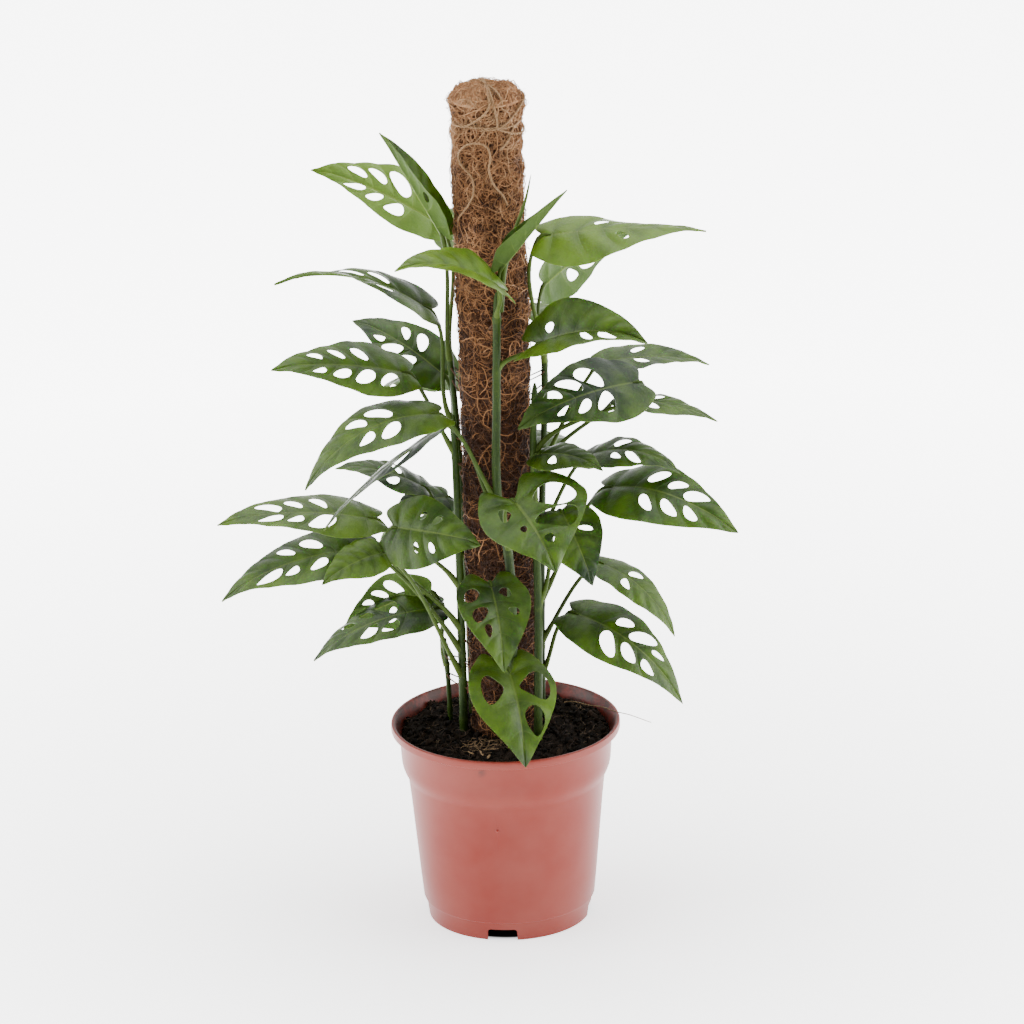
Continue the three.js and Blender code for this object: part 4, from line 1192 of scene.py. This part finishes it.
# The seen strands as turn about the pole in degrees, height, and how far they lie off it.
TIE_STRANDS = (
    ((-84, 646.5, -5), (-82, 641, 1.2), (-85, 637, 1.9), (-92, 632.5, 2), (-108, 626.2, 1.8),
     (-127, 621.3, 1.6), (-145, 620.4, 1.5), (-165, 621.5, 1.5)),
    ((-78, 646.5, -6), (-77, 642, 1.0), (-76, 635.1, 1.8), (-72, 625.5, 1.6), (-72, 619.5, 1.6)),
    ((10, 640.5, 1.2), (-8, 638.2, 1.4), (-27, 632.5, 1.6), (-41, 627.6, 1.6), (-58, 623.3, 1.6),
     (-74, 619.8, 1.8), (-100, 619.4, 1.6)),
    ((-72, 620.0, 1.9), (-58, 617.0, 1.8), (-40, 613.8, 1.5), (-15, 612.5, 1.4), (20, 615, 1.4),
     (60, 619, 1.5)),
    ((-30, 619, 1.2), (-42, 617.1, 1.4), (-55, 610.2, 1.6), (-70, 604.6, 1.9)),
    ((-160, 541, 0.4), (-146, 550.3, 1.2), (-125, 561, 1.9), (-113, 572.3, 2.2), (-116, 583.5, 2.3),
     (-130, 590.0, 2.2), (-138, 598.3, 2.2), (-125, 607.1, 2.3), (-103, 610.5, 2.4), (-89, 606.8, 2.4),
     (-85, 599.2, 2.4), (-88, 590.9, 2.3), (-81, 578.6, 2.2), (-67, 569.5, 1.4), (-58, 561, 0.2)),
)
OVER_TOP = ((25.0, 633), (25.6, 639), (22.0, 643.6), (14, 646.0), (5, 647.2), (-6, 647.4), (-15, 646.2),
            (-22.6, 643.2), (-26.8, 638), (-27.8, 632), (-26.4, 626), (-25.0, 620.5))
OVER_TOP_TURNS = (-84, -78, -62)
TIE_STEPS = 60
PLY_PITCH = 6.0
STRAND_STEPS = 90


def twine_lines():
    """Centre lines: the tie, the strands by the tie, the ones over the top, the loose loop."""
    tie = []
    for k in range(TIE_STEPS):
        turn = 2 * math.pi * k / TIE_STEPS
        z = TIE_Z - 0.5 + 0.8 * math.sin(3 * turn + 1)
        tie.append((turn, z))
    lines = [np.array([coir_spot(turn, z, 1.5) for turn, z in tie + tie[:1]])]
    lines[0][:, :2] *= 1 + 0.01 * np.sin(np.linspace(0, 2 * math.pi, TIE_STEPS + 1))[:, None]
    for strand in TIE_STRANDS:
        lines.append(spline([coir_spot(math.radians(turn), z, off) for turn, z, off in strand], STRAND_STEPS))
    for turn in OVER_TOP_TURNS:
        angle = math.radians(turn + 180)
        lines.append(spline([(pole_x(z) - r * math.cos(angle), -r * math.sin(angle), z)
                             for r, z in OVER_TOP], STRAND_STEPS))
    return lines


def twine_look():
    look = new_look("jute_twine")
    threads = grain(look, 1800.0, 3.0)
    colour = blend(look, spread(look, threads, 0.35, 0.65), (0.12, 0.065, 0.03), colours().twine)
    colour = blend(look, calc(look, "MULTIPLY", tone_of(look), 0.25), colour, (0.36, 0.225, 0.1))
    finish_look(look, colour, between(look, threads, 0.7, 0.9), threads, 0.6, 0.0004)
    return look


# Leaves and stems

def blade_half(v):
    """Half width of a blade along its midrib, as a share of the widest place."""
    body = np.clip(np.sin(np.pi * np.clip(v, 0, 1) ** 0.55), 0, None) ** 0.9
    return np.hypot(body, 0.45 * (1 - v) ** 12)


def lobe_reach(u):
    """How far the lobes at the base reach back, from the midrib to the edge."""
    return u * u * (3 - 2 * u) * (1 - 0.25 * u ** 4)


def vein_line(u, w):
    """Where a side vein that leaves the midrib at w has got to at u."""
    return np.minimum(1, w + (0.02 + 0.62 * w * (1 - w)) * np.abs(u) ** 1.3)


def blade_setting(leaf, seed):
    """How a blade is set in space: a point and an upward direction for a flat place."""
    base = np.array(leaf["base"], float)
    chord = np.array(leaf["tip"], float) - base
    length = np.linalg.norm(chord)
    ahead = chord / length
    level = unit(np.array([0, 0, 1]) - ahead * ahead[2])
    front = np.cross(ahead, level)
    if ahead[0] < 0:
        front = -front
    half = leaf["width"] / 2
    fold = math.radians(leaf.get("fold", 0))
    cup, arch = leaf.get("cup", 0.12), leaf.get("arch", 0)

    def point(x, t):
        turn = np.radians(leaf["roll"] + leaf.get("twist", 0) * (t - 0.5))[..., None]
        face = level * np.cos(turn) + front * np.sin(turn)
        side = np.cross(ahead, face)
        bow = (4 * t * (1 - t))[..., None]
        rise = unit(face - ahead * (arch * 4 * (1 - 2 * t))[..., None])
        out = np.abs(x)
        ripple = 1.2 * np.sin(9 * t + seed + np.where(x > 0, 2, 0)) * (out / half) ** 2
        lift = out * math.sin(fold) - cup * out * out / half + ripple
        return (base + chord * t[..., None] + face * arch * length * bow
                + side * (x * math.cos(fold))[..., None] + rise * lift[..., None])

    def upward(x, t):
        along = point(x, t + 0.005) - point(x, t - 0.005)
        return unit(np.cross(point(x + 0.5, t) - point(x - 0.5, t), along))

    return point, upward, half


def hole_in(leaf, seed, side, k):
    """Where the hole of one cell lies and its half length and width, as in the solids."""
    if "open" in leaf:
        for half, cell, *hole in leaf["open"]:
            if (half, cell) == (side, k):
                return hole
        return None
    if k - 1 not in HOLE_CELL_ORDER[:leaf["holes"][0 if side > 0 else 1]]:
        return None

    def draw(n):
        return rand(seed * 7 + k, n + side) - 0.5

    size = leaf.get("pierce", 1) * (0.94 + 0.5 * draw(15))
    return 0.43 + 0.08 * draw(3), (0.24 + 0.08 * draw(7)) * size, (0.3 + 0.09 * draw(9)) * size


def cell_grid(leaf, seed, side, k, low, high, pitch):
    """Flat places (u, w) and faces of one cell between two side veins, open where it has a hole."""
    us = np.array(U_STATIONS)
    ws = np.linspace(low, high, CELL_ROWS + 1)
    hole = hole_in(leaf, seed, side, k)
    if hole is None:
        grid = np.array([(u, w) for w in ws for u in us])
        n = len(us)
        faces = [(r * n + c, r * n + c + 1, (r + 1) * n + c + 1, (r + 1) * n + c)
                 for r in range(CELL_ROWS) for c in range(n - 1)]
        return grid, faces
    mid_u, long, wide = hole
    mid_w = (low + high) / 2
    edge = [(u, low) for u in us] + [(1.0, w) for w in ws[1:]]
    edge += [(u, high) for u in us[::-1][1:]] + [(0.0, w) for w in ws[::-1][1:-1]]
    edge = np.array(edge)
    du, dw = edge[:, 0] - mid_u, edge[:, 1] - mid_w
    turn = np.arctan2(dw / np.where(dw > 0, high - mid_w, mid_w - low),
                      du / np.where(du > 0, 1 - mid_u, mid_u))
    lean = rand(seed * 5 + k, 9 + side) - 0.5
    shape = (1.02 + 0.3 * rand(seed + 3 * k, 4) + 0.08 * np.cos(2 * turn + 6 * lean)
             + 0.05 * np.cos(3 * turn + 9 * lean))
    swell = 1 + (0.16 + 0.3 * lean) * np.cos(turn)
    rim = np.stack([mid_u + long * np.cos(turn) * shape,
                    mid_w + wide * pitch * np.sin(turn) * shape * swell], axis=1)
    grid = np.concatenate([edge + (rim - edge) * share for share in HOLE_SHARES])
    n = len(edge)
    faces = [(r * n + c, r * n + (c + 1) % n, (r + 1) * n + (c + 1) % n, (r + 1) * n + c)
             for r in range(len(HOLE_SHARES) - 1) for c in range(n)]
    return grid, faces


def blade_relief(u, w, share, half):
    """Quilting: the blade rises between side veins and dips along the midrib."""
    puff = np.abs(np.sin(np.pi * share)) ** 0.8
    rise = smooth(0.02, 0.3, u) * (1 - 0.55 * smooth(0.5, 1, u)) * (1 - w) ** 0.35 * (half / 30)
    crease = np.exp(-(u * half / 1.6) ** 2)
    return sizes().quilting / MM * puff * rise - 0.5 * crease * (half / 30)


def add_blade(heap, leaf, seed):
    """One leaf blade, upper and lower skin with the rim between them."""
    point, upward, half = blade_setting(leaf, seed)
    lobe = leaf.get("lobe", 0.1)
    asym = leaf.get("asym", 0.06)
    veins = leaf.get("veins", VEIN_COUNT)
    pitch = (1 - VEIN_START) / veins
    lines = [0] + [VEIN_START + pitch * k for k in range(veins)] + [1]
    places, faces, sides, shares = [], [], [], []
    count = 0
    for side in (1, -1):
        for k in range(len(lines) - 1):
            low, high = lines[k], lines[k + 1]
            grid, cell_faces = cell_grid(leaf, seed, side, k, low, high, pitch)
            places.append(grid)
            sides.append(np.full(len(grid), side))
            shares.append(k + np.clip((grid[:, 1] - low) / (high - low), 0, 1))
            for face in cell_faces:
                face = tuple(count + i for i in face)
                faces.append(face if side > 0 else face[::-1])
            count += len(grid)
    places, sides, shares = np.concatenate(places), np.concatenate(sides), np.concatenate(shares)
    u, w = places[:, 0], places[:, 1]
    v = vein_line(u, w)
    x = sides * u * blade_half(v) * half * (1 + sides * asym)
    t = v - lobe * lobe_reach(u) * (1 - v) ** 6
    place, up = point(x, t), upward(x, t)
    middle = place + up * blade_relief(u, w, shares % 1, half)[:, None]
    sway = (1.1 * half / 30 * np.sin(7.5 * t + seed * 1.7 + 2.4 * sides)
            * smooth(0.35, 1, u) * smooth(0, 0.25, w))
    ruffle = 0.4 * np.sin(31 * t + seed * 3 + sides) * smooth(0.75, 1, u)
    middle = middle + up * ((sway + ruffle) * (1 - w) ** 0.5)[:, None]
    middle[:, 2] -= 2.6 * smooth(0.8, 1, t) ** 1.5 * (half / 30)
    thick = sizes().blade_thickness / MM * (1 - 0.35 * smooth(0.8, 1, u))
    rib = sizes().midrib / MM * np.exp(-(np.abs(x) / 1.15) ** 2) * np.sqrt(np.clip(1 - w, 0, 1))
    upper = middle + up * (thick / 2)[:, None]
    lower = middle - up * (thick / 2 + rib)[:, None]
    spots = np.stack([0.5 + sides * u / 2, CELL_MAP * shares], axis=1)
    keys = np.round(middle * 500).astype(np.int64)
    _, first, known = np.unique(keys, axis=0, return_index=True, return_inverse=True)
    known = known.ravel()
    merged = []
    for face in faces:
        ring = [known[i] for i in face]
        ring = [a for j, a in enumerate(ring) if a != ring[j - 1]]
        if len(set(ring)) == len(ring) and len(ring) > 2:
            merged.append(tuple(int(a) for a in ring))
    total = len(first)
    tops = upper[first]
    unders = lower[first]
    edges = {}
    for ring in merged:
        for j in range(len(ring)):
            a, b = ring[j], ring[(j + 1) % len(ring)]
            if (b, a) in edges:
                del edges[(b, a)]
            else:
                edges[(a, b)] = True
    all_faces = list(merged) + [tuple(total + a for a in ring[::-1]) for ring in merged]
    looks = [0] * len(merged) + [1] * len(merged)
    for a, b in edges:
        all_faces.append((b, a, total + a, total + b))
        looks.append(0)
    spots = np.concatenate([spots[first], spots[first]])
    heap.add(np.concatenate([tops, unders]), all_faces, looks, spots, leaf["tone"])


def stem_place(line, height):
    """The stem's middle at a height."""
    return np.array([np.interp(height, line[:, 2], line[:, k]) for k in range(3)])


def add_petiole(heap, leaf, seed, stem):
    """The leaf stalk: sheathed foot, slim middle and a knee where it meets the blade."""
    point, _, _ = blade_setting(leaf, seed)
    foot = stem_place(stem, leaf["from"])
    base = np.array(leaf["base"], float)
    reach = np.linalg.norm(base - foot)
    away = base - foot
    away[2] = 0
    away = unit(away)
    start = unit(np.array([0, 0, 0.85]) + away * 0.5)
    ahead = unit(np.array(leaf["tip"], float) - base)
    end = unit(ahead * 0.45 + np.array([0, 0, 0.55]))
    a, b, c, d = foot, foot + start * reach * 0.4, base - end * reach * 0.35, base
    arc = [a * (1 - s) ** 3 + 3 * b * s * (1 - s) ** 2 + 3 * c * s * s * (1 - s) + d * s ** 3
           for s in np.linspace(0, 1, 7)]
    grip = point(np.array([0.0]), np.array([0.06]))[0]
    line = even(spline([*arc, grip], 60), 30)
    share = np.linspace(0, 1, len(line))
    radii = 1.75 - 0.45 * share + 1.1 * np.clip(1 - share * 4.5, 0, None)
    radii = radii + 0.45 * np.exp(-((share - 0.9) / 0.05) ** 2)
    radii = np.where(share > 0.96, radii * np.clip((1.03 - share) / 0.07, 0.35, 1), radii)
    corners, faces = tube(line, radii, STALK_SIDES)
    tones = np.repeat(0.15 + 0.3 * np.clip(1 - share * 3, 0, None) + 0.25 * leaf["tone"], STALK_SIDES)
    heap.add(corners, faces, 2, tones=tones)


def add_stem(heap, vine, number):
    """The climbing stem: joints where the leaves leave, and short roots into the coir."""
    line = spline(vine["line"], 400)
    length = float(np.linalg.norm(np.diff(line, axis=0), axis=1).sum())
    steps = int(length / 3)
    line = even(line, steps)
    foot, top = vine["thick"]
    radii = np.linspace(foot, top, steps + 1)
    heights = line[:, 2]
    joints = [leaf["from"] for leaf in vine["leaves"]]
    low = FIRST_JOINT_Z
    while low < min(joints) - 24:
        joints.append(low)
        low += JOINT_GAP
    tones = np.zeros(steps + 1)
    for joint in joints:
        radii = radii + 0.35 * np.exp(-((heights - joint + 2) / 3.0) ** 2)
        radii = radii - 0.12 * np.exp(-((heights - joint - 6) / 5.0) ** 2)
        tones = tones + 0.16 * np.exp(-((heights - joint + 1.5) / 1.6) ** 2)
    if number != BACK_STEM and top > 2:
        radii[-4:] *= (0.95, 0.85, 0.65, 0.3)
    corners, faces = tube(line, radii, STEM_SIDES, 0.9)
    heap.add(corners, faces, 3, tones=np.repeat(np.clip(tones, 0, 1), STEM_SIDES))
    for i, joint in enumerate(joints):
        if joint < ROOTS_FROM_Z:
            continue
        place = stem_place(line, joint - 6)
        inward = np.array([pole_x(joint), 0, joint - 6]) - place
        gap = np.linalg.norm(inward) - POLE_RADIUS
        inward = unit(inward)
        for j in (-1, 1):
            aside = np.cross(inward, (0, 0, 1)) * j
            bend = place + inward * 2.0 + aside * 3.2 + np.array([0, 0, -2.0])
            tip = place + inward * max(gap + 1.2, 3.5) + aside * (4.2 + 3 * rand(i, number)) + np.array(
                [0, 0, -5 - 6 * rand(i, number + 3)])
            root = spline((place, bend, tip), 10)
            corners, faces = tube(root, np.linspace(0.8, 0.4, 11), 6)
            heap.add(corners, faces, 4, tones=0.3)


class STEMS_OT_build(bpy.types.Operator):
    """Models the seven leafy stems, each with its stalks, pierced blades and short roots"""

    bl_idname = "vine.stems"
    bl_label = "Leafy stems"

    def execute(self, context):
        c = colours()
        looks = [
            blade_look("leaf_upper", True),
            blade_look("leaf_under", False),
            stalk_look("leaf_stalk", c.stalk, c.stalk_deep, 0.3),
            stalk_look("vine_stem", c.stem, c.stem_deep, 0.2),
            fibre_look("air_root", (0.04, 0.018, 0.007), (0.12, 0.06, 0.025)),
        ]
        for number, (name, vine) in enumerate(VINES.items(), start=1):
            heap = Heap()
            stem = spline(vine["line"], 400)
            add_stem(heap, vine, number)
            for i, leaf in enumerate(vine["leaves"]):
                seed = number * 10 + i
                add_petiole(heap, leaf, seed, stem)
                add_blade(heap, leaf, seed)
            if number == FRONT_STEM:
                self.shoot(heap)
            leafy = heap.piece(f"{name}_leafy", looks)
            pick(leafy)
            bpy.ops.object.shade_smooth_by_angle(angle=math.radians(48))
            finish_piece(leafy, "vine_green", name)
        return {"FINISHED"}

    def shoot(self, heap):
        """The pointed sheath of the next leaf at the top of the front stem."""
        line = spline(SHOOT_LINE, 24)
        share = np.linspace(0, 1, 25)
        corners, faces = tube(line, 2.6 * (1 - share) ** 0.75 + 0.15, 8)
        heap.add(corners, faces, 2, tones=np.repeat(0.25 + 0.2 * share, 8))


# Studio

class STUDIO_OT_build(bpy.types.Operator):
    """Sets the pale floor, the soft lights and the camera"""

    bl_idname = "vine.studio"
    bl_label = "Studio"

    def execute(self, context):
        fresh()
        bpy.ops.mesh.primitive_plane_add(size=FLOOR_SIZE, location=(0, 0, 0))
        floor = context.object
        floor.name = "floor"
        look = new_look("floor_white")
        cloud = grain(look, 3.0, 2.0)
        place = step(look, "ShaderNodeTexCoord").outputs["Object"]
        away = step(look, "ShaderNodeVectorMath", {0: place}, operation="LENGTH").outputs["Value"]
        # The floor's glow rises from GLOW_NEAR by the pot to GLOW_FAR away from it. The dimmer glow near the
        # pot is a painted soft shadow.
        glow = calc(look, "MULTIPLY_ADD", spread(look, away, 0.1, 1.2), GLOW_FAR - GLOW_NEAR, GLOW_NEAR)
        white = blend(look, cloud, (0.93, 0.93, 0.93), (0.95, 0.95, 0.95))
        # Painted shadow: under the pot the floor turns nearly black and stops glowing; it shows through the
        # foot notches.
        clear_of_painted_shadow = spread(look, away, 0.0535, 0.0575)
        glow = calc(look, "MULTIPLY", glow, clear_of_painted_shadow)
        forward = step(look, "ShaderNodeSeparateXYZ", {"Vector": place}).outputs[1]
        glow = calc(look, "MULTIPLY", glow, spread(look, forward, -0.9, -0.45, 0.25, 1.0))
        finish_look(look, blend(look, clear_of_painted_shadow, (0.02, 0.018, 0.016), white), 0.9,
                    Specular_IOR_Level=0.1, Emission_Color=(1, 1, 1, 1), Emission_Strength=glow)
        floor.data.materials.append(look)
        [self.lamp(*row) for row in LAMPS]
        world = bpy.data.worlds.new("studio")
        context.scene.world = world
        world.use_nodes = True
        way = step(world, "ShaderNodeSeparateXYZ", {"Vector": step(world, "ShaderNodeTexCoord").outputs[
            "Generated"]}).outputs[1]
        light = spread(world, way, -0.8, 0.3, WORLD_FRONT, WORLD_BEHIND)
        background = world.node_tree.nodes["Background"]
        background.inputs[0].default_value = (1, 1, 1, 1)
        world.node_tree.links.new(light, background.inputs[1])
        self.camera(context)
        return {"FINISHED"}

    def lamp(self, name, place, size, power):
        data = bpy.data.lights.new(name, "AREA")
        data.energy = power
        data.size = size
        data.shape = "DISK"
        lamp = bpy.data.objects.new(name, data)
        bpy.context.collection.objects.link(lamp)
        lamp.location = place
        aim = Vector(LAMP_AIM) - Vector(place)
        lamp.rotation_euler = aim.to_track_quat("-Z", "Y").to_euler()
        return lamp

    def camera(self, context):
        tilt, roll = math.radians(CAMERA_TILT), math.radians(CAMERA_ROLL)
        look = Vector((0, math.cos(tilt), -math.sin(tilt)))
        right, up = Vector((1, 0, 0)), Vector((0, math.sin(tilt), math.cos(tilt)))
        turned_right = right * math.cos(roll) - up * math.sin(roll)
        turned_up = up * math.cos(roll) + right * math.sin(roll)
        place = Vector(CAMERA_TARGET) * MM - look * CAMERA_DISTANCE * MM
        data = bpy.data.cameras.new("camera")
        data.lens = CAMERA_LENS
        data.sensor_width = 36
        data.dof.use_dof = False
        data.clip_end = 60
        eye = bpy.data.objects.new("camera", data)
        context.collection.objects.link(eye)
        eye.matrix_world = Matrix((
            (turned_right.x, turned_up.x, -look.x, place.x),
            (turned_right.y, turned_up.y, -look.y, place.y),
            (turned_right.z, turned_up.z, -look.z, place.z),
            (0, 0, 0, 1)))
        context.scene.camera = eye


class VINE_PT_build(bpy.types.Panel):
    """Buttons that build the plant piece by piece"""

    bl_idname = "VINE_PT_build"
    bl_label = "Swiss Cheese Vine"
    bl_space_type = "VIEW_3D"
    bl_region_type = "UI"
    bl_category = "Vine"

    def draw(self, context):
        for kind in BUILDERS:
            self.layout.operator(kind.bl_idname)


BUILDERS = (STUDIO_OT_build, POT_OT_build, SOIL_OT_build, POLE_OT_build, TWINE_OT_build, STEMS_OT_build)
GROUPS = (VineSizes, VineColours)


def register():
    for kind in (*GROUPS, *BUILDERS, VINE_PT_build):
        bpy.utils.register_class(kind)
    bpy.types.Scene.vine_sizes = PointerProperty(type=VineSizes)
    bpy.types.Scene.vine_colours = PointerProperty(type=VineColours)


def unregister():
    del bpy.types.Scene.vine_sizes
    del bpy.types.Scene.vine_colours
    for kind in reversed((*GROUPS, *BUILDERS, VINE_PT_build)):
        bpy.utils.unregister_class(kind)


def main():
    register()
    bpy.ops.vine.studio()
    bpy.ops.vine.pot()
    bpy.ops.vine.soil()
    bpy.ops.vine.pole()
    bpy.ops.vine.twine()
    bpy.ops.vine.stems()


if __name__ == "__main__":
    main()
